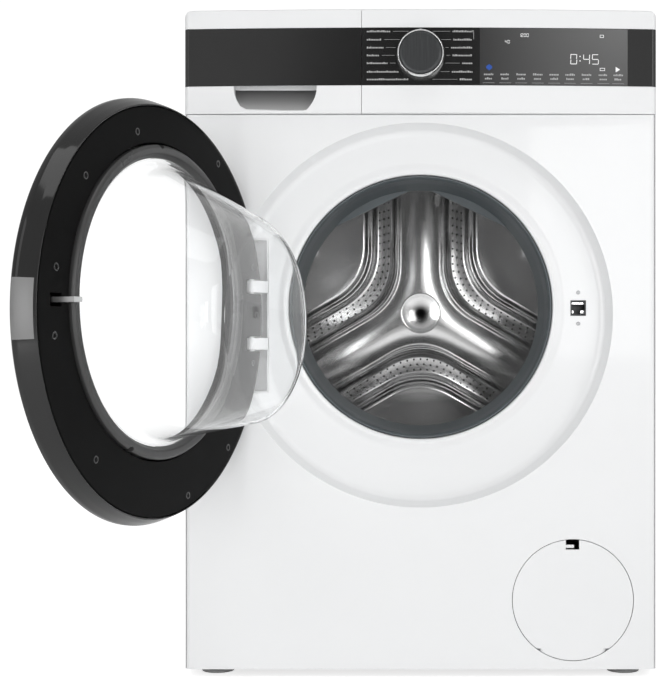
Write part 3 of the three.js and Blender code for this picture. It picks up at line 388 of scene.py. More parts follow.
# Emission in the surface colour: lamps for the lit digits and the blue light, a painted glow for
# the printed marks.
def glowing(name, colour, strength):
    made = moulded(name, colour, tuple(0.92 * c for c in colour), 0.4, 0.05, 60.0)
    tree = made.node_tree
    shader = tree.nodes["Principled BSDF"]
    shader.inputs["Emission Strength"].default_value = strength
    base = next(n for n in tree.nodes if n.type == "GROUP" and n.node_tree == SURFACE)
    tree.links.new(base.outputs["Colour"], shader.inputs["Emission Color"])
    return made


COOL = (0.985, 0.993, 1.0)

MATERIALS = {
    "white_paint": moulded("white_enamel", shade(0.86, COOL), shade(0.845, COOL), 0.3, 0.06,
                           4.0, 420.0, 0.012, 0.1, 0.12, **{"Coat Weight": 0.35}),
    "white_plastic": moulded("white_moulding", shade(0.85, COOL), shade(0.835, COOL), 0.36, 0.06,
                             6.0, 1500.0, 0.01, 0.1, 0.12),
    "worktop_laminate": moulded("white_laminate", shade(0.86, COOL), shade(0.84, COOL), 0.42,
                                0.08, 8.0, 700.0, 0.03, 0.1, 0.15),
    "black_glass": moulded("black_band", shade(0.012), shade(0.018), 0.13, 0.05, 5.0, 300.0,
                           0.001, 0.1, 0.05, **{"Coat Weight": 0.5}),
    "black_gloss": moulded("gloss_black_moulding", shade(0.0055), shade(0.0085), 0.09, 0.05, 6.0,
                           240.0, 0.002, 0.3, 0.05, **{"Coat Weight": 0.25}),
    "satin_black": moulded("satin_black_moulding", shade(0.004), shade(0.006), 0.5, 0.1, 9.0,
                           1400.0, 0.01, 0.3, 0.08, **{"Specular IOR Level": 0.06}),
    # Clear glass with a faint painted glow standing in for its reflections.
    "clear_glass": clear_moulding("clear_pressed_glass", (0.985, 0.99, 0.992, 1.0), 0.01),
    "smoked_flange": moulded("smoked_flange", shade(0.045), shade(0.055), 0.28, 0.08, 14.0,
                             700.0, 0.01, 0.3, 0.1),
    "grey_rubber": moulded("door_seal_rubber", shade(0.098, (0.86, 1.0, 1.08)),
                           shade(0.125, (0.87, 1.0, 1.07)), 0.46, 0.12, 26.0, 1300.0, 0.03,
                           0.3, 0.3),
    "black_rubber": moulded("black_rubber", shade(0.02), shade(0.03), 0.7, 0.15, 24.0, 900.0,
                            0.06, 0.4, 0.4),
    "stainless": drawn_metal("rolled_stainless", shade(0.8), shade(0.74), 0.13, 0.05,
                             (6.0, 60.0, 60.0), 0.0003),
    "chrome": drawn_metal("bright_chrome", shade(0.9), shade(0.86), 0.1, 0.04,
                          (30.0, 30.0, 30.0), 0.0002),
    "dark_metal": drawn_metal("brushed_graphite", shade(0.105, (0.97, 1.0, 1.03)),
                              shade(0.055, (0.97, 1.0, 1.03)), 0.24, 0.16,
                              (500.0, 500.0, 25.0), 0.01),
    "motor_steel": moulded("motor_laminations", shade(0.06), shade(0.1), 0.5, 0.2, 30.0, 500.0,
                           0.08, 0.5, 0.3, **{"Metallic": 0.6}),
    "grey_plastic": moulded("grey_polypropylene", shade(0.46, COOL), shade(0.42, COOL), 0.5, 0.1,
                            8.0, 900.0, 0.04),
    "dark_plastic": moulded("dark_polymer", shade(0.03), shade(0.042), 0.5, 0.12, 12.0, 800.0,
                            0.05),
    "zinc": zinc_spangle(),
    "cast_alloy": moulded("cast_alloy", shade(0.42), shade(0.34), 0.5, 0.2, 30.0, 600.0, 0.12,
                          0.6, 0.3, **{"Metallic": 0.9}),
    "concrete": cast_concrete(),
    # Display window with a painted reflection in its colour.
    "display": display_painted_reflection(),
    # Grey with painted shade towards the top.
    "scoop_grey_painted_shade": scoop_grey_painted_shade(),
    # Chrome with a painted dark reflection in its middle.
    "hub_chrome_painted_reflection": hub_chrome_painted_reflection(),
    "foot_rubber": moulded("foot_rubber", shade(0.3), shade(0.34), 0.6, 0.1, 24.0, 900.0, 0.06),
    "latch_steel": drawn_metal("latch_steel", shade(0.7), shade(0.6), 0.22, 0.08,
                               (90.0, 90.0, 90.0), 0.002),
    # Printed marks with a faint painted glow, though they are no lamp.
    "printed_marks_painted_glow": glowing("printed_marks_painted_glow", shade(0.42), 0.04),
    "lit_digits": glowing("lit_digits", shade(0.7), 0.45),
    "blue_light": glowing("blue_light", (0.01, 0.06, 0.3, 1.0), 0.25),
    "perforation": moulded("perforation_shadow", shade(0.07), shade(0.1), 0.5),
    "grip_satin": moulded("grip_satin", shade(0.16), shade(0.19), 0.3, 0.08, 12.0, 900.0, 0.01),
}


# ---- mesh helpers ---------------------------------------------------------------------

class Shape:
    """Points in millimetres and the faces between them."""

    def __init__(self, points=(), faces=()):
        self.points = [tuple(p) for p in points]
        self.faces = [tuple(f) for f in faces]

    def add(self, other):
        start = len(self.points)
        self.points += other.points
        self.faces += [tuple(i + start for i in f) for f in other.faces]
        return self

    def moved(self, how):
        self.points = [tuple(how(Vector(p))) for p in self.points]
        return self


def soften(profile, radius, steps=4):
    """Rounds the corners of a closed outline, leaving points on the axis as they are."""
    result = []
    count = len(profile)
    for i, corner in enumerate(profile):
        here = Vector(corner)
        before, after = Vector(profile[i - 1]), Vector(profile[(i + 1) % count])
        reach = min(radius, 0.45 * (before - here).length, 0.45 * (after - here).length)
        if here.x < 1e-6 or reach < 1e-3:
            result.append(tuple(here))
            continue
        start = here + (before - here).normalized() * reach
        end = here + (after - here).normalized() * reach
        for step in range(steps + 1):
            t = step / steps
            result.append(tuple((1 - t) ** 2 * start + 2 * t * (1 - t) * here + t * t * end))
    return result


def lathe(profile, x, z, segments=ROUND):
    """A closed outline of (radius, depth behind the front) turned about the depth axis."""
    points, faces = [], []
    count = len(profile)
    for i in range(segments):
        angle = 2 * math.pi * i / segments
        across, up = math.cos(angle), math.sin(angle)
        points += [(x + r * across, FRONT + depth, z + r * up) for r, depth in profile]
    for i in range(segments):
        here, there = i * count, (i + 1) % segments * count
        for k in range(count):
            m = (k + 1) % count
            faces.append((here + k, here + m, there + m, there + k))
    return Shape(points, faces)


def upright_lathe(profile, x, y, segments=48):
    """A closed outline of (radius, height) turned about a vertical axis."""
    flat = lathe([(r, h - FRONT) for r, h in profile], 0, 0, segments)
    return flat.moved(lambda p: Vector((x + p.x, y + p.z, p.y)))


def off_centre(shape, x, inner, outer):
    """Raises the middle of a turned ring by LIFT, fading out between two radii."""
    def shift(p):
        radius = math.hypot(p.x - x, p.z - RING_Z)
        share = min(1.0, max(0.0, (outer - radius) / (outer - inner)))
        return Vector((p.x, p.y, p.z + LIFT * share))
    return shape.moved(shift)


def prism(outline, axis, start, end):
    """A flat outline carried along an axis. The outline holds the other two axes in order."""
    def at(pair, along):
        spot = list(pair)
        spot.insert("xyz".index(axis), along)
        return spot
    count = len(outline)
    points = [at(p, start) for p in outline] + [at(p, end) for p in outline]
    faces = [tuple(range(count)), tuple(range(2 * count - 1, count - 1, -1))]
    faces += [(i, (i + 1) % count, count + (i + 1) % count, count + i) for i in range(count)]
    return Shape(points, faces)


def loft(rings):
    """A closed tube through rings that have the same number of points."""
    size = len(rings[0])
    shape = Shape([point for ring in rings for point in ring])
    for i in range(len(rings) - 1):
        for k in range(size):
            m = (k + 1) % size
            shape.faces.append((i * size + k, i * size + m, (i + 1) * size + m,
                                (i + 1) * size + k))
    last = (len(rings) - 1) * size
    shape.faces += [tuple(range(size)), tuple(range(last + size - 1, last - 1, -1))]
    return shape


def block(x0, x1, y0, y1, z0, z1):
    return prism([(x0, y0), (x1, y0), (x1, y1), (x0, y1)], "z", z0, z1)


def rounded_outline(x0, x1, y0, y1, radius, steps=10):
    outline = []
    corners = [(x1 - radius, y0 + radius, -90), (x1 - radius, y1 - radius, 0),
               (x0 + radius, y1 - radius, 90), (x0 + radius, y0 + radius, 180)]
    for cx, cy, first in corners:
        for step in range(steps + 1):
            angle = math.radians(first + 90 * step / steps)
            outline.append((cx + radius * math.cos(angle), cy + radius * math.sin(angle)))
    return outline


def rod(axis, radius, start, end, a, b, segments=48):
    """A round bar along an axis; a and b are its place on the other two axes in order."""
    ring = [(a + radius * math.cos(2 * math.pi * i / segments),
             b + radius * math.sin(2 * math.pi * i / segments)) for i in range(segments)]
    return prism(ring, axis, start, end)


def build(name, shape):
    """A Blender object from a shape, with its faces turned outwards."""
    mesh = bpy.data.meshes.new(name)
    mesh.from_pydata([Vector(p) * MM for p in shape.points], [], shape.faces)
    work = bmesh.new()
    work.from_mesh(mesh)
    bmesh.ops.remove_doubles(work, verts=work.verts, dist=2e-6)
    bmesh.ops.dissolve_degenerate(work, edges=work.edges, dist=1e-6)
    bmesh.ops.recalc_face_normals(work, faces=work.faces)
    work.to_mesh(mesh)
    work.free()
    thing = bpy.data.objects.new(name, mesh)
    bpy.context.scene.collection.objects.link(thing)
    return thing


def settle(thing):
    """Applies the modifiers."""
    depsgraph = bpy.context.evaluated_depsgraph_get()
    mesh = bpy.data.meshes.new_from_object(thing.evaluated_get(depsgraph))
    thing.modifiers.clear()
    thing.data = mesh
    mesh.name = thing.name


def carve(thing, *shapes, mode="DIFFERENCE"):
    """Cuts shapes out of a piece, or keeps only what they share with it."""
    for shape in shapes:
        tool = shape if isinstance(shape, bpy.types.Object) else build("cutter", shape)
        step = thing.modifiers.new("carve", "BOOLEAN")
        step.operation = mode
        step.object = tool
        step.solver = "EXACT"
        settle(thing)
        bpy.data.objects.remove(tool)
    return thing


def soft_edges(thing, width, segments=2, limit=40):
    step = thing.modifiers.new("soft edges", "BEVEL")
    step.width = width * MM
    step.segments = segments
    step.limit_method = "ANGLE"
    step.angle_limit = math.radians(limit)
    step.harden_normals = False
    settle(thing)
    return thing


def finish_piece(thing, finish, body, stands_for=(), crease=38):
    """Shades a piece smoothly, gives it its finish, and hangs it on its moving body."""
    thing.data.shade_smooth()
    thing.data.set_sharp_from_angle(angle=math.radians(crease))
    even = thing.modifiers.new("even shading", "WEIGHTED_NORMAL")
    even.keep_sharp = True
    if not thing.data.materials:
        thing.data.materials.append(MATERIALS[finish])
    if stands_for:
        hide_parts(*stands_for)
    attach(thing, body)
    return thing


# ---- cabinet --------------------------------------------------------------------------

def panel_outline():
    """The front panel's plan, with its rounded upright edges."""
    radius, steps = 8, 12
    outline = [(-HALF, FRONT + 16)]
    for side, first in ((-1, 180), (1, 270)):
        for step in range(steps + 1):
            angle = math.radians(first + 90 * step / steps)
            outline.append((side * (HALF - radius) + radius * math.cos(angle),
                            FRONT + radius + radius * math.sin(angle)))
    return outline + [(HALF, FRONT + 16)]


def make_front_panel():
    skin = build("front_panel_skin", prism(panel_outline(), "z", PANEL_LOW, PANEL_HIGH))
    flap_hole = rod("y", FLAP_R + 0.7, FRONT - 5, FRONT + 40, FLAP.x, FLAP.z, 160)
    mouth = rod("y", RECESS_R, FRONT - 5, FRONT + 40, 0, RING_Z, ROUND)
    back = block(-HALF + 2, HALF - 2, FRONT + 2, FRONT + 40, -10, PANEL_HIGH + 10)
    carve(skin, mouth, flap_hole, back)
    finish_piece(skin, "white_paint", "cabinet", ["front_panel"])

    wall = soften([
        (RECESS_R, 0), (241.6, 9), (237.2, 23.5), (231, RECESS_DEPTH), (183, RECESS_DEPTH),
        (174.5, 22.6), (PORTHOLE_R, 24), (PORTHOLE_R, 38), (171.5, 38), (171.5, 28),
        (183, RECESS_DEPTH + 3), (234, RECESS_DEPTH + 3), (243, 24), (246.5, 1.9), (RECESS_R, 1.9),
    ], 3.0, 5)
    lip_points = 6
    wall[:lip_points] = [(RECESS_R, 0), (RECESS_R - 0.25, 0.6)]
    dish = build("front_recess", off_centre(lathe(wall, 0, RING_Z), 0, 183, 231))
    pan_low, pan_high = low_corner("hinge_bracket"), high_corner("hinge_bracket")
    pocket = block(pan_low.x - 0.4, pan_high.x + 0.4, FRONT + 12, FRONT + 60,
                   pan_low.z - 0.4, pan_high.z + 0.4)
    lock_slot = block(LOCK.x - 10, LOCK.x + 10, FRONT + 15, FRONT + 45, LOCK.z - 10, LOCK.z + 10)
    carve(dish, pocket, lock_slot)
    finish_piece(dish, "white_paint", "cabinet", crease=28)

    screws = Shape()
    for side in (-20, 20):
        screws.add(screw_head(LOCK.x, FRONT + RECESS_DEPTH, LOCK.z + side, 2.6))
    finish_piece(build("lock_screws", screws), "zinc", "cabinet")


def screw_head(x, y, z, radius, toward=-1):
    """A small domed screw head with a hollow middle, on a face square to the depth axis."""
    depth = y - FRONT
    profile = [(0, depth), (radius, depth), (radius, depth + toward * 0.5),
               (radius * 0.55, depth + toward * 1.3), (radius * 0.5, depth + toward * 0.7),
               (0, depth + toward * 0.7)]
    return lathe(soften(profile, 0.3, 2), x, z, 24)


def make_hinge_bracket():
    low, high = low_corner("hinge_bracket"), high_corner("hinge_bracket")
    pan = build("hinge_bracket_arms", block(low.x, high.x, FRONT + 25, high.y, low.z, high.z))
    carve(pan, block(low.x + 2, high.x - 2, FRONT, high.y - 2, low.z + 2, high.z - 2))
    nose = [(HINGE.x + 6.5 * math.cos(math.radians(a)), HINGE.y + 6.5 * math.sin(math.radians(a)))
            for a in range(90, 316, 15)]
    arm = nose + [(high.x, FRONT + 18), (high.x, FRONT + 46), (high.x - 3, FRONT + 46),
                  (high.x - 11, FRONT + 26)]
    for middle in HINGE_ARMS:
        carve(pan, prism(arm, "z", middle - 7.5, middle + 7.5), mode="UNION")
        carve(pan, rod("z", 3, middle - 16, middle + 16, HINGE.x, HINGE.y, 32), mode="UNION")
    soft_edges(pan, 0.8)
    finish_piece(pan, "white_plastic", "cabinet", ["hinge_bracket"])


def make_door_lock():
    slot = build("door_lock_mouth", block(LOCK.x - 9.7, LOCK.x + 9.7, FRONT + 25.2, FRONT + 62,
                                          LOCK.z - 9.7, LOCK.z + 9.7))
    carve(slot, block(LOCK.x - 8.2, LOCK.x + 8.2, FRONT, FRONT + 52, LOCK.z - 8.2, LOCK.z + 8.2))
    for low, high in ((-30, -9.6), (9.6, 30)):
        carve(slot, block(LOCK.x - 17, LOCK.x + 17, FRONT + 31, FRONT + 62, LOCK.z + low,
                          LOCK.z + high), mode="UNION")
    soft_edges(slot, 0.5)
    finish_piece(slot, "dark_metal", "cabinet", ["door_lock"])
    catch = Shape()
    for left, right in ((-8, -5.4), (3.6, 8)):
        catch.add(block(LOCK.x + left, LOCK.x + right, FRONT + 33, FRONT + 36, LOCK.z - 7,
                        LOCK.z - 3))
    catch.add(block(LOCK.x - 8, LOCK.x + 8, FRONT + 34, FRONT + 38, LOCK.z + 4.6, LOCK.z + 7.6))
    finish_piece(soft_edges(build("door_lock_catch", catch), 0.4), "chrome", "cabinet")


def make_gasket():
    profile = soften([
        (165.4, 25), (162, 60), (157, 92), (156, 97), (156.6, 100.5), (159.6, 100.5), (164.6, 66),
        (178, 64), (179, 100), (182.5, 100), (181.5, 59), (168, 54), (168.4, 44), (173, 43),
        (173, 38.6), (168.3, 38.6), (168.3, 25),
    ], 1.6, 3)
    ring = lathe(profile, 0, AXIS_Z)
    bead = lathe(soften([(163.5, 30), (167.8, 28), (167.8, 22.4), (166.2, 22)], 1.0, 3), 0, AXIS_Z)
    seal = build("door_seal", ring.add(bead))
    finish_piece(seal, "grey_rubber", "cabinet", ["gasket"], crease=50)
    flaps = Shape()
    reach, chord = 158.0, 146.5
    half = math.acos(chord / reach)
    for middle in (math.radians(64), math.radians(116)):
        outline = []
        for step in range(17):
            angle = middle - half + 2 * half * step / 16
            outline.append((reach * math.cos(angle), AXIS_Z + reach * math.sin(angle)))
        flaps.add(prism(outline, "y", FRONT + 93, FRONT + 98))
    finish_piece(soft_edges(build("door_seal_flaps", flaps), 0.7), "grey_rubber", "cabinet")


def opening_edge(angle):
    """The edge of the round opening, as the flap meets it when it has swung down by an angle."""
    edge = build("opening_edge", block(FLAP.x - 62, FLAP.x + 62, FRONT - 0.1, FRONT + 2.2, 4, 36))
    carve(edge, rod("y", FLAP_R + 0.4, FRONT - 5, FRONT + 5, FLAP.x, FLAP.z, 96))
    pin = FLAP_PIN * MM
    edge.data.transform(Matrix.Translation(pin) @ Matrix.Rotation(-math.radians(angle), 4, "X")
                        @ Matrix.Translation(-pin))
    return edge


def make_service_flap():
    face = soften([(0, 0), (FLAP_R, 0), (FLAP_R, 2), (64, 2), (64, 7), (61, 7), (61, 2),
                   (0, 2)], 0.8, 4)
    flap = build("service_flap_disc", lathe(face, FLAP.x, FLAP.z, 160))
    carve(flap, block(FLAP.x - 9, FLAP.x + 8, FRONT - 3, FRONT + 12, FLAP.z + 64, FLAP.z + 90))
    for step in range(1, 9):
        carve(flap, opening_edge(FLAP_OPEN * step / 8))
    knuckle = rod("x", 1.9, FLAP.x - 22, FLAP.x + 22, FLAP_PIN.y, FLAP_PIN.z, 32)
    pin = rod("x", 1.1, FLAP.x - 29.5, FLAP.x + 29.5, FLAP_PIN.y, FLAP_PIN.z, 24)
    carve(flap, knuckle, mode="UNION")
    carve(flap, pin, mode="UNION")
    finish_piece(flap, "white_paint", "flap", ["service_flap"])
    tab = block(FLAP.x - 9.2, FLAP.x + 1.5, FRONT + 1, FRONT + 3.4, FLAP.z + 66, FLAP.z + 70)
    finish_piece(soft_edges(build("service_flap_tab", tab), 0.5), "white_plastic", "flap")
    lugs = Shape()
    hook = [(-0.6, -1.2), (-0.6, 2.8), (11.3, 2.8), (11.3, 4 - FLAP_PIN.z), (-1.8, 4 - FLAP_PIN.z),
            (-1.8, -10.6), (9.7, -10.6), (9.7, -1.2)]
    for side in (-27, 27):
        x = FLAP.x + side
        lugs.add(prism([(FLAP_PIN.y + y, FLAP_PIN.z + z) for y, z in hook], "x", x - 3, x + 3))
    made = build("flap_lugs", lugs)
    carve(made, rod("x", 1.4, FLAP.x - 40, FLAP.x + 40, FLAP_PIN.y, FLAP_PIN.z, 24))
    for left, right in ((-54, -25), (25, 54)):
        carve(made, block(FLAP.x + left, FLAP.x + right, FLAP_PIN.y + 9.8, FLAP_PIN.y + 11.2,
                          5, 38), mode="UNION")
    finish_piece(soft_edges(made, 0.3), "white_paint", "cabinet")


def make_worktop():
    low, high = low_corner("worktop"), high_corner("worktop")
    board = build("worktop_board", prism(
        rounded_outline(low.x, high.x, low.y, high.y, 6), "z", low.z, high.z))
    soft_edges(board, 1.6, 4, 60)
    finish_piece(board, "worktop_laminate", "cabinet", ["worktop"])


def make_rear():
    low, high = low_corner("rear_cover"), high_corner("rear_cover")
    plate = build("rear_cover_sheet", prism(
        rounded_outline(low.x, high.x, low.z, high.z, 34), "y", low.y, low.y + 1.5))
    soft_edges(plate, 0.5)
    middle = build("pan", prism(rounded_outline(-173, 173, 197, 633, 62), "y", low.y + 0.2,
                                high.y))
    soft_edges(middle, 5, 6, 60)
    carve(plate, middle, mode="UNION")
    ribs = Shape()
    for z in (262, 338, 492, 568):
        ribs.add(prism(rounded_outline(-120, 120, z - 9, z + 9, 8.9), "y", high.y - 1,
                       high.y + 2))
    ridge = soft_edges(build("ribs", ribs), 1.8, 4, 60)
    carve(plate, ridge, mode="UNION")
    finish_piece(plate, "zinc", "cabinet", ["rear_cover"])
    screws = Shape()
    spots = [(x, z) for x in (-222, 0, 222) for z in (97, 691)] + [(-222, 394), (222, 394)]
    for x, z in spots:
        screws.add(screw_head(x, low.y + 1.5, z, 4, 1))
    for x in (-150, 150):
        for z in (140, 655):
            bolt = soften([(0, 0), (13, 0), (13, 3), (8, 4), (8, 11), (0, 11)], 0.8, 3)
            depth = low.y + 1.4 - FRONT
            screws.add(lathe([(r, d + depth) for r, d in bolt], x, z, 36))
    finish_piece(build("rear_screws", screws), "zinc", "cabinet")


def make_rear_fittings():
    thread = [(8, 560), (13.2, 560)]
    for i in range(9):
        thread += [(13.2, 577 + 2 * i), (12.3, 578 + 2 * i)]
    thread += [(13.2, 596), (8, 596)]
    inlet = lathe(soften(thread, 0.4, 2), -220, 770, 64)
    low, high = low_corner("inlet_valve"), high_corner("inlet_valve")
    body = prism(rounded_outline(low.x, high.x, low.z, high.z, 8), "y", low.y, low.y + 19)
    valve = soft_edges(build("inlet_valve_body", body), 1.2, 3)
    carve(valve, rod("y", 12.9, FRONT + 568, FRONT + 600, -220, 770), mode="DIFFERENCE")
    finish_piece(valve, "grey_plastic", "cabinet", ["inlet_valve"])
    finish_piece(build("inlet_thread", inlet), "grey_plastic", "cabinet")
    spout = soften([(8, 565), (18, 565), (18, 575), (11, 577), (11, 602), (12, 604), (11, 608),
                    (8, 608)], 0.8, 3)
    finish_piece(build("drain_spout", lathe(spout, 60, 764, 64)), "grey_plastic", "cabinet",
                 ["drain_outlet"])
    gland = soften([(4, 571), (15, 571), (15, 576.5), (10.4, 576.5), (10.4, 579.6), (14, 579.6),
                    (14, 583), (9, 592), (4, 592)], 0.8, 3)
    finish_piece(build("cord_gland", lathe(gland, 230, 764, 64)), "dark_plastic", "cabinet",
                 ["cable_gland"])


def make_feet():
    for place in ("front_left", "front_right", "rear_left", "rear_right"):
        node = "foot_" + place
        low, high = low_corner(node), high_corner(node)
        x, y = (low.x + high.x) / 2, (low.y + high.y) / 2
        profile = soften([(0, FLOOR), (21, FLOOR), (21, -5.5), (9.5, -3.2), (6, -3), (6, 22),
                          (0, 22)], 1.2, 3)
        finish_piece(build(node + "_pad", upright_lathe(profile, x, y)), "foot_rubber", node,
                     [node])


# ---- control fascia and drawer --------------------------------------------------------

def fascia_line(x):
    bow = FRONT - FASCIA_BOW * (1 - (x / HALF) ** 2)
    past = max(0.0, abs(x) - (HALF - FASCIA_CORNER))
    return bow + FASCIA_CORNER - math.sqrt(max(0.0, FASCIA_CORNER ** 2 - past * past))


def stations(x0, x1, count=90):
    """Places across the fascia, closer together at its rounded outer ends."""
    edge = HALF - FASCIA_CORNER - 1
    result = [x0 + (x1 - x0) * i / count for i in range(count + 1)]
    extra = []
    for side in (-1, 1):
        for step in range(1, 12):
            x = side * (edge + (HALF - edge) * math.sin(math.pi * step / 24))
            if x0 < x < x1:
                extra.append(x)
    return sorted(set(round(x, 4) for x in result + extra))


def bowed(section, x0, x1, count=90):
    """A closed section of (setback, height) carried along the bowed front.

    A setback of None puts that point on the flat rear plane."""
    rings = []
    for x in stations(x0, x1, count):
        front = fascia_line(x)
        rings.append([(x, FASCIA_REAR if setback is None else front + setback, z)
                      for setback, z in section])
    return loft(rings)


def fascia_section():
    low, high = FASCIA_LOW, FASCIA_HIGH
    seat_low, seat_high = BAND_LOW - 0.3, BAND_HIGH + 0.3
    edge = [(1.2, low), (0.35, low + 0.35), (0, low + 1.2)]
    edge += [(0, seat_low), (1.6, seat_low), (1.6, seat_high), (0, seat_high)]
    edge += [(0, high - 2.4), (0.7, high - 0.8), (2.2, high)]
    return edge + [(None, high), (None, low)]


def corner_keeper():
    """Front outline of the whole fascia, with its rounded upper corners."""
    outline = rounded_outline(-HALF, HALF, FASCIA_LOW - 30, FASCIA_HIGH, 10, 12)
    return prism(outline, "y", FRONT - 30, FASCIA_REAR + 5)


def band_section():
    return soften([(0, BAND_LOW), (0, BAND_HIGH), (1.3, BAND_HIGH), (1.3, BAND_LOW)], 0.5, 3)


def make_fascia():
    right = build("fascia_moulding", bowed(fascia_section(), DRAWER_SPLIT, HALF))
    carve(right, corner_keeper(), mode="INTERSECT")
    finish_piece(right, "white_plastic", "cabinet", ["control_fascia"])
    glass = build("fascia_band", bowed(band_section(), DRAWER_SPLIT, HALF - 0.2))
    finish_piece(glass, "black_glass", "cabinet", ["fascia_glass"])
    window = soften([(-0.12, BAND_LOW + 0.4), (-0.12, BAND_HIGH - 0.4), (0.3, BAND_HIGH - 0.4),
                     (0.3, BAND_LOW + 0.4)], 0.1, 1)
    # The display window's colour holds a painted reflection.
    finish_piece(build("display_panel", bowed(window, 74.6, 261.8)), "display", "cabinet")


def scoop_levels():
    """Height, left and right ends and depth of the finger scoop, from under the band down."""
    top, bottom = BAND_LOW - 1.6, 706.8
    levels = [(top + 9, 22), (top - 1, 22), (top - 7, 20.5), (top - 13, 17), (top - 18, 12.5),
              (bottom + 7, 8), (bottom + 3, 4), (bottom + 0.8, 1.4), (bottom, 0)]
    result = []
    for z, back in levels:
        inset = 13 * min(1.0, max(0.0, (top - z) / (top - bottom))) ** 2.2
        result.append((z, -237 + inset, -130 - inset, fascia_line(-184) + back))
    return result


def scoop_cutter():
    """The finger scoop: deep under the band, running out to nothing at its lower lip."""
    rings = []
    for z, left, right, y in scoop_levels():
        rings.append([(left, -325, z), (right, -325, z), (right - 1.5, y - 3, z),
                      (right - 6, y, z), (left + 6, y, z), (left + 1.5, y - 3, z)])
    return loft(rings)


def scoop_shaded_liner():
    """A thin grey lining over the scoop's walls, carrying painted shade."""
    shape = Shape()
    levels = scoop_levels()[1:]
    for z, left, right, y in levels:
        for x, depth in ((left, -400), (left + 1.5, y - 3), (left + 6, y), (right - 6, y),
                         (right - 1.5, y - 3), (right, -400)):
            shape.points.append((x, max(depth, fascia_line(x) + 0.5), z))
    for i in range(len(levels) - 1):
        for k in range(5):
            a = 6 * i + k
            shape.faces.append((a, a + 1, a + 7, a + 6))
    liner = build("drawer_scoop_painted_shade_liner", shape)
    sheet = liner.modifiers.new("sheet", "SOLIDIFY")
    sheet.thickness = 0.5 * MM
    sheet.offset = 0
    settle(liner)
    finish_piece(liner, "scoop_grey_painted_shade", "drawer")


def make_drawer():
    face = build("drawer_face", bowed(fascia_section(), -HALF, DRAWER_EDGE))
    carve(face, corner_keeper(), mode="INTERSECT")
    carve(face, scoop_cutter())
    finish_piece(face, "white_plastic", "drawer", ["drawer_front"], crease=30)
    glass = build("drawer_band", bowed(band_section(), -HALF + 0.2, DRAWER_EDGE))
    finish_piece(glass, "black_glass", "drawer", ["drawer_glass"])
    # The scoop's grey lining carries painted shade under the band.
    scoop_shaded_liner()
    low, high = low_corner("drawer_tray"), high_corner("drawer_tray")
    tray = build("drawer_compartments", block(low.x, high.x, low.y, high.y, low.z, high.z))
    walls = (low.x + 1, -195, -145, high.x - 1)
    for left, right in zip(walls, walls[1:]):
        well = build("well", block(left + 1, right - 1, low.y + 2.5, high.y - 2.5, low.z + 2.5,
                                   high.z + 12))
        carve(tray, soft_edges(well, 5, 4))
    for left, right in ((walls[0], walls[1]), (walls[2], walls[3])):
        carve(tray, block(left + 12, right - 12, high.y - 5, high.y + 5, low.z + 2.5, low.z + 14))
    soft_edges(tray, 0.6)
    finish_piece(tray, "grey_plastic", "drawer", ["drawer_tray"])


def make_knob():
    grip = soften([(0, -31.4), (23.5, -32), (26.4, -31), (27, -29), (27, -16), (5, -15), (5, 6),
                   (0, 6)], 1.2, 4)
    cap = build("selector_cap", lathe(grip, 0, KNOB_Z, 96))
    carve(cap, block(-0.7, 0.7, FRONT - 40, FRONT - 31.2, KNOB_Z + 16, KNOB_Z + 25))
    finish_piece(cap, "dark_metal", "knob", ["knob_cap"])
    rim = soften([(27.2, -30.6), (28.6, -30.9), (KNOB_R, -27), (KNOB_R + 0.6, -12.6), (6, -12.6),
                  (6, -14.5), (27.2, -14.5)], 0.8, 4)
    finish_piece(build("selector_ring", lathe(rim, 0, KNOB_Z, 96)), "chrome", "knob",
                 ["knob_ring"])


def mark(x0, x1, z0, z1, slant=0.0):
    """A thin printed mark that follows the bowed band."""
    count = max(1, int(abs(x1 - x0) / 6))
    shape = Shape()
    raised, thick = 0.28, 0.2
    for i in range(count + 1):
        x = x0 + (x1 - x0) * i / count
        for lift in (raised, raised - thick):
            y = fascia_line(x) - lift
            shape.points += [(x, y, z0), (x + slant, y, z1)]
    for i in range(count):
        a, b = 4 * i, 4 * (i + 1)
        shape.faces += [(a, b, b + 1, a + 1), (a + 2, a + 3, b + 3, b + 2),
                        (a, a + 2, b + 2, b), (a + 1, b + 1, b + 3, a + 3)]
    end = 4 * count
    shape.faces += [(0, 1, 3, 2), (end, end + 2, end + 3, end + 1)]
    return shape


SEGMENTS = {"0": "abcdef", "1": "bc", "2": "abged", "3": "abgcd", "4": "fgbc", "5": "afgcd",
            "6": "afgedc", "7": "abc", "8": "abcdefg", "9": "abcdfg"}


def digit(figure, x, z, wide, tall, stroke):
    """One lit figure made of seven bars; x, z is its lower left corner."""
    gap, mid = stroke * 0.6, z + tall / 2
    lean = 0.35
    bars = {
        "a": (x + gap, x + wide - gap, z + tall - stroke, z + tall),
        "g": (x + gap, x + wide - gap, mid - stroke / 2, mid + stroke / 2),
        "d": (x + gap, x + wide - gap, z, z + stroke),
        "f": (x, x + stroke, mid + gap, z + tall - gap),
        "b": (x + wide - stroke, x + wide, mid + gap, z + tall - gap),
        "e": (x, x + stroke, z + gap, mid - gap),
        "c": (x + wide - stroke, x + wide, z + gap, mid - gap),
    }
    shape = Shape()
    for name in SEGMENTS[figure]:
        shape.add(mark(*bars[name], slant=lean if name in "fbec" else 0.0))
    return shape


def word_block(draw, x0, x1, z, tall):
    """A row of small plain blocks in place of a printed word."""
    shape = Shape()
    x = x0
    while x < x1 - 1.0:
        wide = min(draw.uniform(1.0, 2.1), x1 - x)
        top = z + tall * draw.choice((0.72, 0.72, 1.0))
        shape.add(mark(x, x + wide, z, top))
        x += wide + 0.55
    return shape


LEGEND_LEFT, LEGEND_RIGHT = -67.6, 65.4


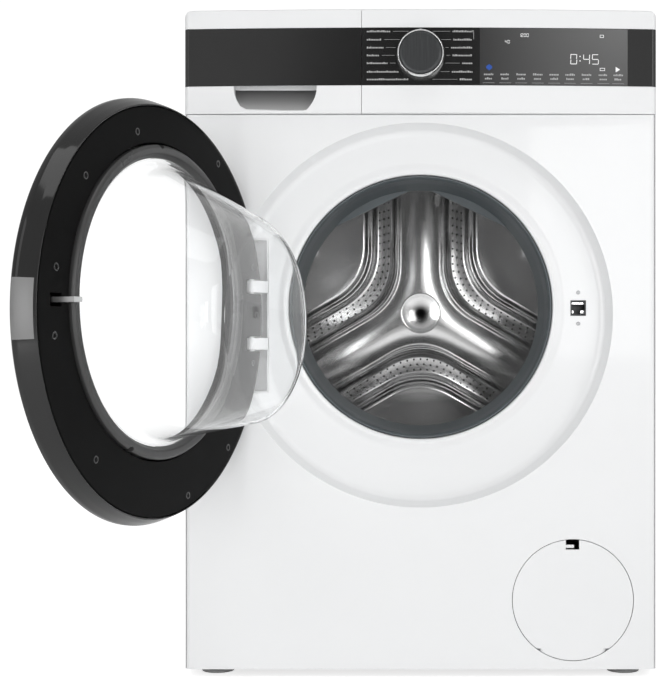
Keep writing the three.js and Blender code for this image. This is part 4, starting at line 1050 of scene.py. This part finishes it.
def make_legend(draw):
    """Two columns of programme words, each with a pointer line towards the knob."""
    legend = Shape()
    rows = [806, 795.6, 785.6, 775.8, 766, 755.2, 745.6]
    left_words = (30, 19, 21, 16, 26, 41, 52)
    right_words = (25, 24, 27, 25, 13, 26, 16)
    for z, wide_left, wide_right in zip(rows, left_words, right_words):
        left_end, right_start = LEGEND_LEFT + wide_left, LEGEND_RIGHT - wide_right
        legend.add(word_block(draw, LEGEND_LEFT, left_end, z - 1.1, 2.3))
        legend.add(word_block(draw, right_start, LEGEND_RIGHT, z - 1.1, 2.3))
        gap = math.sqrt(max(0.0, (KNOB_R + 3) ** 2 - (z - KNOB_Z) ** 2))
        if left_end + 3 < -gap - 2:
            legend.add(mark(left_end + 3, -max(gap, 15), z - 0.16, z + 0.16))
        if gap + 2 < right_start - 3:
            legend.add(mark(max(gap, 15), right_start - 3, z - 0.16, z + 0.16))
    legend.add(mark(-1.2, 1.2, 807.2, 809.4))
    legend.add(mark(66.6, 67.1, 796, 807)).add(mark(64.6, 67.1, 806.6, 807.1))
    finish_piece(build("programme_marks", legend), "printed_marks_painted_glow", "cabinet")


def make_key_marks(draw):
    keys = Shape()
    for x in (85.8, 106.6, 126.8, 147.7, 168.5, 188.7, 209.5, 230.9, 249.9):
        for z, spare in ((751, 0.0), (745.6, 1.2)):
            keys.add(word_block(draw, x - 6.0 + spare, x + 6.0 - spare, z, 2.5))
        keys.add(mark(x - 7.5, x + 7.5, 741.2, 741.5))
    finish_piece(build("key_marks", keys), "printed_marks_painted_glow", "cabinet")


def make_display_figures():
    lit = Shape()
    for figure, x in (("0", 188.9), ("4", 205.2), ("5", 216.4)):
        lit.add(digit(figure, x, 765.4, 8.4, 12.8, 0.85))
    for z in (769, 774.6):
        lit.add(mark(200.6, 202, z, z + 1.4))
    for figure, x in (("4", 106.2), ("0", 109.6)):
        lit.add(digit(figure, x, 791, 2.7, 4.2, 0.5))
    for figure, x in (("1", 123.6), ("2", 126.6), ("0", 130.0), ("0", 133.4)):
        lit.add(digit(figure, x, 799.4, 2.7, 4.2, 0.5))
    for i in range(7):
        lit.add(mark(246.6 + 0.75 * i, 246.6 + 0.75 * (i + 1), 756 + 0.45 * i, 762.4 - 0.45 * i))
    for x, z, wide in ((226.5, 757.4, 6.4), (226.5, 799.2, 5.0)):
        for low, high in ((z, z + 0.6), (z + 3.0, z + 3.6)):
            lit.add(mark(x, x + wide, low, high))
        lit.add(mark(x, x + 0.6, z, z + 3.6)).add(mark(x + wide - 0.6, x + wide, z, z + 3.6))
    finish_piece(build("display_figures", lit), "lit_digits", "cabinet")


def make_status_lamp():
    lamp = Shape()
    for i in range(8):
        span = 3.9 * math.sin(math.pi * (i + 0.5) / 8)
        lamp.add(mark(86.4 - span, 86.4 + span, 757.2 + i * 0.95, 758.15 + i * 0.95))
    finish_piece(build("status_lamp", lamp), "blue_light", "cabinet")


def make_markings():
    draw = random.Random(7)
    make_legend(draw)
    make_key_marks(draw)
    make_display_figures()
    make_status_lamp()


# ---- door -----------------------------------------------------------------------------

def door_lathe(profile, radius=0.0, segments=ROUND):
    """A closed outline of (radius, rise above the inner face) turned about the door's middle."""
    soft = soften(profile, radius, 5) if radius else profile
    raised = [(r, DOOR_FACE + rise - FRONT) for r, rise in soft]
    return off_centre(lathe(raised, DOOR_U, RING_Z, segments), DOOR_U, 184, 228)


def swing(thing):
    """Turns a piece that was built closed, about the hinge pin, to where the door stands."""
    thing.data.transform(Matrix.Translation(HINGE * MM) @ Matrix.Rotation(-DOOR_OPEN, 4, "Z"))
    return thing


def hinge_clearance():
    """Room for the two hinge arms."""
    room = []
    for middle in HINGE_ARMS:
        room.append(block(-50, 23, -9.5, 30, middle - 9.5, middle + 9.5))
    return room


def swept_edges():
    """What the door's back edge passes at each angle: the panel round the recess."""
    low, high = low_corner("hinge_bracket"), high_corner("hinge_bracket")
    edge = build("swept_edge", block(-HALF, -120, FRONT - 1, FRONT + 60, RING_Z - 200,
                                     RING_Z + 200))
    hollow = [(0, -5), (RECESS_R - 0.9, -5), (RECESS_R - 0.9, 0), (238.4, 21), (231.8, 25), (0, 25)]
    carve(edge, lathe(hollow, 0, RING_Z, 96))
    carve(edge, block(low.x + 2.8, high.x - 2.8, FRONT + 21.5, high.y - 2.8, low.z + 2.8,
                      high.z - 2.8))
    first, last, turns = math.radians(8), DOOR_OPEN + DOOR_SPARE, 11
    edges = []
    for i in range(turns + 1):
        angle = first + (last - first) * i / turns
        copy = bpy.data.objects.new("swept_edge", edge.data.copy())
        bpy.context.scene.collection.objects.link(copy)
        copy.data.transform(Matrix.Rotation(angle, 4, "Z") @ Matrix.Translation(-HINGE * MM))
        edges.append(copy)
    bpy.data.objects.remove(edge)
    return edges


def hang_lower(p):
    """The bowl's deep end sits lower than its mouth."""
    return Vector((p.x, p.y, p.z - BOWL_DROP * min(1.0, max(0.0, (p.y - 3) / 130))))


def make_door_rim():
    ring = build("door_rim", door_lathe([
        (232.6, -1.2), (234.6, 0), (238.6, -9), (242.6, -20), (242.6, -26), (237, -30.8),
        (208, -29.4), (178, -20.6), (166.5, -15), (166.5, -7.4), (179.6, -7.4),
        (179.6, -15.6), (207, -25), (231, -26),
    ], 2.0))
    carve(ring, *hinge_clearance())
    carve(ring, *swept_edges())
    finish_piece(swing(ring), "black_gloss", "door", ["door_outer_ring"])


def make_door_face():
    face = build("door_inner_face", door_lathe([
        (232, -0.4), (232, -16), (229.5, -16), (229.5, -3.2), (183, -3.2), (183, -18),
        (180.5, -18), (180.5, -0.4),
    ], 1.0))
    carve(face, *hinge_clearance())
    carve(face, block(LOCK.x + DOOR_U - 9.5, LOCK.x + DOOR_U + 9.5, DOOR_FACE - 6,
                      DOOR_FACE + 5, LOCK.z - 7, LOCK.z + 7))
    carve(face, *swept_edges())
    finish_piece(swing(face), "satin_black", "door", ["door_inner_frame"])


def make_bowl():
    dish = door_lathe([
        (164, -1), (160, 3), (154.4, 9), (113.6, 121.8), (100.8, 132.2), (0, 135.8),
        (0, 133.2), (99.4, 129.4), (111, 120), (151.8, 8), (159, -1),
    ], 7.0)
    bowl = build("door_glass_bowl", dish.moved(hang_lower))
    finish_piece(swing(bowl), "clear_glass", "door", ["door_bowl"], crease=60)
    bowl.visible_shadow = False


def make_bowl_flange():
    flange = build("door_bowl_flange", door_lathe([
        (178.6, -7), (178.6, 2.4), (175.6, 4.8), (168, 4.4), (163.5, -0.4), (163.5, -7),
    ], 1.5))
    for angle, radius in ((86.8, 178), (-66, 178)):
        turn = math.radians(angle)
        x, z = DOOR_U + radius * math.cos(turn), AXIS_Z + radius * math.sin(turn)
        carve(flange, rod("y", 4.2, DOOR_FACE - 20, DOOR_FACE + 20, x, z, 24))
    finish_piece(swing(flange), "smoked_flange", "door", crease=50)

    lining = build("door_opening_lining", door_lathe([
        (166.4, -15), (166.4, -1), (163.6, -1), (164.4, -15)], 0.5))
    finish_piece(swing(lining), "black_gloss", "door")


def make_face_screws():
    dimples = Shape()
    angles = [75, 124, 43, 12, -7.5, -50, -104, -132, 164, 180, -164]
    for angle in angles:
        turn = math.radians(angle)
        radius = 206 + (14 if abs(angle) > 100 else 0)
        x, z = DOOR_U + radius * math.cos(turn), RING_Z + radius * math.sin(turn)
        rim = soften([(2.6, 0.35), (4.4, 0.35), (4.6, -0.6), (2.3, -0.6)], 0.3, 2)
        core = soften([(0, -0.2), (2.2, -0.1), (2.2, -0.8), (0, -0.8)], 0.3, 2)
        for outline in (rim, core):
            dimples.add(lathe([(r, DOOR_FACE - 0.4 + d - FRONT) for r, d in outline], x, z, 28))
    finish_piece(swing(build("door_face_screws", dimples)), "black_gloss", "door")


def make_grip():
    rings = []
    steps, reach = 24, math.radians(7.4)
    section = [(242.95, -25.4), (242.9, -20.4), (239.2, -9.6), (236.4, -3.2), (235.4, -3.2),
               (238.2, -9.6), (241.9, -20.4), (241.95, -25.4)]
    for i in range(steps + 1):
        angle = -reach + 2 * reach * i / steps
        rings.append([(DOOR_U + r * math.cos(angle), DOOR_FACE + rise,
                       RING_Z + r * math.sin(angle)) for r, rise in section])
    finish_piece(swing(build("door_grip", loft(rings))), "grip_satin", "door")


def make_latch():
    u = LOCK.x + DOOR_U
    hook = build("door_latch", block(u - 7, u + 7, DOOR_FACE - 10, DOOR_FACE + 27,
                                     LOCK.z - 2.7, LOCK.z + 2.7))
    carve(hook, block(u - 2, u + 3.5, DOOR_FACE + 14, DOOR_FACE + 22, LOCK.z - 5, LOCK.z + 5))
    carve(hook, rod("x", 3.5, u - 8, u + 8, DOOR_FACE - 12, LOCK.z, 32), mode="UNION")
    soft_edges(hook, 0.9, 3)
    finish_piece(swing(hook), "latch_steel", "latch", ["latch_hook"])


def make_door():
    make_door_rim()
    make_door_face()
    make_bowl()
    make_bowl_flange()
    make_face_screws()
    make_grip()
    make_latch()


# ---- drum -----------------------------------------------------------------------------

STAR_PROFILE = [
    (-0.01, 13.0), (6, 12.9), (12, 12.4), (18, 11.5), (23, 10.5), (27, 9.5), (29.5, 8.9),
    (31.5, 8.9), (33, 9.6), (34.5, 10.6), (36, 10.8), (37.5, 10.0), (39.5, 7.2), (41.5, 3.8),
    (43.5, 1.4), (46, 0.3), (50, 0), (58, -0.3), (66, 0), (69, 0.4), (71.5, 1.8), (73.5, 4.4),
    (75.2, 6.6), (77, 7.4), (78.8, 6.8), (80.5, 5.6), (82.2, 5.4), (84, 6.4), (86, 8.2),
    (88, 9.2), (91, 9.4), (96, 9.2), (104, 9.0), (116, 9.2), (130, 9.6), (146, 10),
    (160, 9.8), (174, 9.2), (185, 8.4), (191.5, 7.6),
]
FIELDS = (30, 150, 270)
BLEND = 50.0
SIN60 = math.sin(math.radians(60))


def contour(distance, aside):
    """Distance from the hub, along a field's middle line, of the line parallel to the arms."""
    near = max(0.0, 1 - abs(aside) / BLEND)
    return (distance + abs(aside) / 2 + near * near * BLEND / 4) / SIN60


def widest(distance, radius):
    """How far to the side a line reaches before it meets the drum wall."""
    low, high = 0.0, radius
    for _ in range(40):
        middle = (low + high) / 2
        if math.hypot(contour(distance, middle), middle) < radius:
            low = middle
        else:
            high = middle
    return low


def pressed_star(radius, floor_depth, across=72):
    """The drum's pressed back, seen from inside: three arms, three channels, three fields."""
    shape = Shape()
    size = across + 1
    for field in FIELDS:
        turn = math.radians(field)
        forward = (math.cos(turn), math.sin(turn))
        start = len(shape.points)
        for distance, height in STAR_PROFILE:
            reach = widest(distance, radius)
            for i in range(size):
                share = 2 * i / across - 1
                aside = reach * share * (0.55 + 0.45 * abs(share))
                along = contour(distance, aside)
                x = forward[0] * along - forward[1] * aside
                z = forward[1] * along + forward[0] * aside
                shape.points.append((x, FRONT + floor_depth - height, AXIS_Z + z))
        for row in range(len(STAR_PROFILE) - 1):
            for i in range(across):
                a = start + row * size + i
                shape.faces.append((a, a + 1, a + size + 1, a + size))
    return shape


def make_drum_back():
    star = pressed_star(DRUM_R - 0.4, DRUM_BACK)
    middle = len(star.points)
    star.points.append((0, FRONT + DRUM_BACK - 13, AXIS_Z))
    rim = []
    for field in FIELDS:
        turn = math.radians(field)
        for i in range(25):
            aside = -BLEND + 2 * BLEND * i / 24
            along = contour(-0.01, aside)
            rim.append((math.cos(turn) * along - math.sin(turn) * aside,
                        FRONT + DRUM_BACK - 13.0,
                        AXIS_Z + math.sin(turn) * along + math.cos(turn) * aside))
    first = len(star.points)
    star.points += rim
    for i in range(len(rim)):
        star.faces.append((middle, first + i, first + (i + 1) % len(rim)))
    back = build("drum_back_pressing", star)
    thick = back.modifiers.new("sheet", "SOLIDIFY")
    thick.thickness = 0.8 * MM
    thick.offset = 0
    settle(back)
    finish_piece(back, "stainless", "drum", ["drum_back"], crease=60)


def make_back_holes():
    """Three rows of small holes along each bent channel, as shallow cups in painted shadow."""
    holes = Shape()
    for field in FIELDS:
        turn = math.radians(field)
        for row, distance in enumerate((50.5, 57.5, 64.5)):
            for i in range(-17, 18):
                aside = (i + 0.5 * (row % 2)) * 10.5
                along = contour(distance, aside)
                if math.hypot(along, aside) > DRUM_R - 8:
                    continue
                x = math.cos(turn) * along - math.sin(turn) * aside
                z = math.sin(turn) * along + math.cos(turn) * aside
                depth = DRUM_BACK - 0.5
                cup = [(0, depth), (1.5, depth), (1.8, depth + 0.6), (0, depth + 0.6)]
                holes.add(lathe(cup, x, AXIS_Z + z, 10))
    finish_piece(build("drum_back_holes", holes), "perforation", "drum")


def make_drum_wall():
    wall = soften([
        (163, DRUM_FRONT - 2), (231, DRUM_FRONT - 0.5), (237.5, DRUM_FRONT + 6),
        (237.5, DRUM_BACK - 0.5), (DRUM_R, DRUM_BACK - 0.5), (DRUM_R, DRUM_FRONT + 7),
        (230.5, DRUM_FRONT + 1), (164, DRUM_FRONT - 0.2), (162, DRUM_FRONT + 6),
        (160.5, DRUM_FRONT + 6),
    ], 2.0, 3)
    shell = build("drum_wall", lathe(wall, 0, AXIS_Z))
    finish_piece(shell, "stainless", "drum", ["drum_shell"], crease=50)

    wall_holes = Shape()
    rows, around = 14, 60
    for row in range(rows):
        depth = DRUM_FRONT + 26 + row * (DRUM_BACK - DRUM_FRONT - 50) / (rows - 1)
        for i in range(around):
            turn = 2 * math.pi * (i + 0.5 * (row % 2)) / around
            past_lifter = (math.degrees(turn) - 30) % 120
            if min(past_lifter, 120 - past_lifter) < 9:
                continue
            add_wall_hole(wall_holes, turn, FRONT + depth)
    finish_piece(build("drum_wall_holes", wall_holes), "perforation", "drum")


def make_hub_cap():
    cap = soften([(0, DRUM_BACK - 17.4), (8, DRUM_BACK - 17.6), (16, DRUM_BACK - 18.4),
                  (24, DRUM_BACK - 19.8), (29.6, DRUM_BACK - 21), (31.2, DRUM_BACK - 21),
                  (32, DRUM_BACK - 19.4), (32, DRUM_BACK - 13.2), (0, DRUM_BACK - 13.2)], 3.0, 5)
    # The cap's dark middle is a painted reflection in its finish.
    finish_piece(build("drum_hub_cap", lathe(cap, 0, AXIS_Z, 128)), "hub_chrome_painted_reflection", "drum",
                 ["hub_cap"], crease=60)


def make_drum():
    make_drum_back()
    make_back_holes()
    make_drum_wall()
    make_hub_cap()


def add_wall_hole(shape, turn, y):
    """A small dark hole in the drum's wall, as a thin six-sided cap in painted shadow."""
    radius, size = DRUM_R - 0.25, 2.0
    rings = []
    for thick in (0.0, 0.5):
        ring = []
        for i in range(6):
            angle = math.pi * i / 3
            around = turn + size * math.cos(angle) / radius
            ring.append(((radius + thick) * math.cos(around), y + size * math.sin(angle),
                         AXIS_Z + (radius + thick) * math.sin(around)))
        rings.append(ring)
    shape.add(loft(rings))


def make_lifters():
    """Pressed paddles with a crowned ridge, along the drum wall."""
    half_section = [(-26, 233.5), (-20, 231.5), (-14, 227), (-10, 220), (-8, 211), (-7.4, 204),
                    (-6, 197.5), (-3, 194.4), (0, 193.6)]
    section = half_section + [(-a, r) for a, r in reversed(half_section[:-1])]
    first, last = DRUM_FRONT + 30, DRUM_BACK - 24
    for number, angle in enumerate((60, 180, 300), 1):
        turn = math.radians(angle)
        rings = []
        steps = 22
        for i in range(steps + 1):
            share = i / steps
            y = FRONT + first + (last - first) * share
            drop = 1 - 0.9 * abs(2 * share - 1) ** 6
            ring = []
            for aside, radius in section:
                low = 234.0 - (234.0 - radius) * drop
                side = aside * (0.8 + 0.2 * drop)
                x = side * math.cos(turn) + low * math.sin(turn)
                z = -side * math.sin(turn) + low * math.cos(turn)
                ring.append((x, y, AXIS_Z + z))
            rings.append(ring)
        finish_piece(build("drum_paddle_%d" % number, loft(rings)), "stainless", "drum",
                     ["lifter_%d" % number], crease=50)


# ---- pump filter ----------------------------------------------------------------------

def make_filter():
    low, high = low_corner("pump_filter"), high_corner("pump_filter")
    x, z = FLAP.x, (low.z + high.z) / 2
    profile = soften([(0, 28), (36, 28), (36, 33.5), (27, 33.5), (27, 36), (29, 36), (29, 50),
                      (28, 88), (0, 88)], 1.0, 3)
    plug = build("filter_plug", lathe(profile, x, z, 96))
    bar = soft_edges(build("bar", block(x - 30, x + 30, FRONT + 14, FRONT + 30, z - 5, z + 5)),
                     2.0, 4)
    carve(plug, bar, mode="UNION")
    finish_piece(plug, "grey_plastic", "filter", ["pump_filter"])


# ---- what keeps its own shape ---------------------------------------------------------

KEPT = {
    "cabinet_wrap": ("white_paint", 0.5), "base_tray": ("dark_plastic", 0.6),
    "control_board": ("dark_plastic", 0.6), "dispenser_housing": ("grey_plastic", 0.6),
    "spring_left": ("zinc", 0), "spring_right": ("zinc", 0),
    "damper_tube_left": ("grey_plastic", 0.5), "damper_tube_right": ("grey_plastic", 0.5),
    "fill_bellows": ("black_rubber", 0.4), "sump_hose": ("black_rubber", 0),
    "drain_pump": ("white_plastic", 0.5), "siphon_cap": ("grey_plastic", 0.5),
    "pump_impeller": ("dark_plastic", 0.3), "tub_front": ("grey_plastic", 0.8),
    "tub_rear": ("grey_plastic", 0.8), "counterweight_front": ("concrete", 1.5),
    "counterweight_top": ("concrete", 1.5), "heater": ("stainless", 0.3),
    "motor_housing": ("motor_steel", 0.8), "drive_belt": ("black_rubber", 0.3),
    "bearing_front": ("chrome", 0.3), "bearing_rear": ("chrome", 0.3),
    "shaft_seal": ("black_rubber", 0.3), "damper_rod_left": ("zinc", 0.3),
    "damper_rod_right": ("zinc", 0.3), "drum_spider": ("cast_alloy", 0.8),
    "drum_pulley": ("cast_alloy", 0.5), "motor_rotor": ("motor_steel", 0.4),
}


def refinish_kept():
    for node, (finish, width) in KEPT.items():
        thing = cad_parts[node]
        if thing.material_slots:
            thing.material_slots[0].material = MATERIALS[finish]
        else:
            thing.data.materials.append(MATERIALS[finish])
        weld = thing.modifiers.new("weld", "WELD")
        weld.merge_threshold = 1e-5
        if width:
            edge = thing.modifiers.new("soft edges", "BEVEL")
            edge.width = width * MM
            edge.segments = 2
            edge.limit_method = "ANGLE"
            edge.angle_limit = math.radians(40)


# ---- studio ---------------------------------------------------------------------------

def make_floor():
    size = 9.0
    mesh = bpy.data.meshes.new("studio_floor")
    z = FLOOR * MM
    mesh.from_pydata([(-size, -size, z), (size, -size, z), (size, size, z), (-size, size, z)],
                     [], [(0, 1, 2, 3)])
    floor = bpy.data.objects.new("studio_floor", mesh)
    bpy.context.scene.collection.objects.link(floor)
    made, tree, shader = new_material("studio_floor", {"Roughness": 0.9}, shade(0.95))
    noise = add_node(tree, "ShaderNodeTexNoise", {"Scale": 3.0}).outputs["Fac"]
    tree.links.new(mix_colours(tree, noise, shade(0.97), shade(0.93)),
                   shader.inputs["Base Color"])
    shader.inputs["Emission Color"].default_value = shade(1.0)
    rays = add_node(tree, "ShaderNodeLightPath").outputs
    seen = maths(tree, "MAXIMUM", rays["Is Camera Ray"], rays["Is Transmission Ray"])
    glow = add_node(tree, "ShaderNodeMapRange", {0: seen, 3: 0.12, 4: 0.72}).outputs[0]
    tree.links.new(glow, shader.inputs["Emission Strength"])
    mesh.materials.append(made)


def softbox(name, place, target, width, height, watts):
    lamp = bpy.data.lights.new(name, "AREA")
    lamp.shape = "RECTANGLE"
    lamp.size = width
    lamp.size_y = height
    lamp.energy = watts
    thing = bpy.data.objects.new(name, lamp)
    thing.location = place
    thing.rotation_euler = (Vector(target) - Vector(place)).to_track_quat("-Z", "Y").to_euler()
    bpy.context.scene.collection.objects.link(thing)
    return thing


def make_world():
    """White behind the machine; a darker room with a dark front for what reflects in it."""
    world = bpy.data.worlds.new("studio")
    bpy.context.scene.world = world
    world.use_nodes = True
    tree = world.node_tree
    tree.nodes.clear()
    rays = add_node(tree, "ShaderNodeLightPath").outputs
    ray = maths(tree, "MAXIMUM", rays["Is Camera Ray"], rays["Is Transmission Ray"])
    way = add_node(tree, "ShaderNodeTexCoord").outputs["Generated"]
    parts = add_node(tree, "ShaderNodeSeparateXYZ", {0: way}).outputs
    across = maths(tree, "MULTIPLY", parts[0], 7.5)
    height = maths(tree, "MULTIPLY", maths(tree, "SUBTRACT", parts[2], 0.1), 6.0)
    away = maths(tree, "ADD", maths(tree, "POWER", across, 2.0), maths(tree, "POWER", height, 2.0))
    behind = maths(tree, "GREATER_THAN", parts[1], 0.0)
    reach = maths(tree, "ADD", maths(tree, "SQRT", away), maths(tree, "MULTIPLY", behind, 9.0))
    toward_front = add_node(tree, "ShaderNodeMapRange", {
        0: reach, 1: 0.75, 2: 1.6, 3: 0.05, 4: 0.46,
    }).outputs[0]
    room = add_node(tree, "ShaderNodeBackground", {"Strength": toward_front})
    room.inputs["Color"].default_value = (1.0, 1.0, 1.0, 1.0)
    white = add_node(tree, "ShaderNodeBackground", {"Strength": 1.05})
    white.inputs["Color"].default_value = (1.0, 1.0, 1.0, 1.0)
    both = tree.nodes.new("ShaderNodeMixShader")
    tree.links.new(ray, both.inputs[0])
    tree.links.new(room.outputs[0], both.inputs[1])
    tree.links.new(white.outputs[0], both.inputs[2])
    out = tree.nodes.new("ShaderNodeOutputWorld")
    tree.links.new(both.outputs[0], out.inputs["Surface"])


CAMERA_PLACE = (0.0, -2.182, 0.4175)
CAMERA_LENS = 79.09
CAMERA_SHIFT = -0.128


def make_camera():
    lens = bpy.data.cameras.new("camera")
    lens.sensor_width = 36.0
    lens.lens = CAMERA_LENS
    lens.shift_x = CAMERA_SHIFT
    lens.clip_start = 0.05
    camera = bpy.data.objects.new("camera", lens)
    camera.location = CAMERA_PLACE
    camera.rotation_euler = (math.radians(90), 0.0, 0.0)
    bpy.context.scene.collection.objects.link(camera)
    bpy.context.scene.camera = camera


def make_lights():
    aim = (0.0, -0.3, 0.45)
    softbox("left_softbox", (-1.9, -2.4, 1.5), aim, 1.1, 1.8, 4)
    softbox("right_softbox", (2.1, -2.3, 0.8), aim, 1.0, 1.9, 11.5)
    softbox("top_softbox", (0.1, -1.3, 2.9), aim, 2.2, 1.4, 10)
    softbox("left_fill", (-1.0, -2.3, 0.5), (0.05, 0.1, 0.46), 0.5, 0.7, 5)
    softbox("right_card", (0.52, -2.4, 0.68), (0.0, 0.1, 0.5), 0.45, 0.62, 3.2)
    fill = softbox("front_fill", (0.0, -3.3, 0.5), aim, 1.3, 1.3, 12.5)
    fill.visible_glossy = False


bpy.context.scene.view_settings.view_transform = "Standard"

for make in (make_camera, make_world, make_lights, make_floor,
             make_front_panel, make_hinge_bracket, make_door_lock, make_gasket,
             make_service_flap, make_worktop, make_rear, make_rear_fittings, make_feet,
             make_fascia, make_drawer, make_knob, make_markings,
             make_door, make_drum, make_lifters, make_filter, refinish_kept):
    make()

bpy.context.view_layer.update()
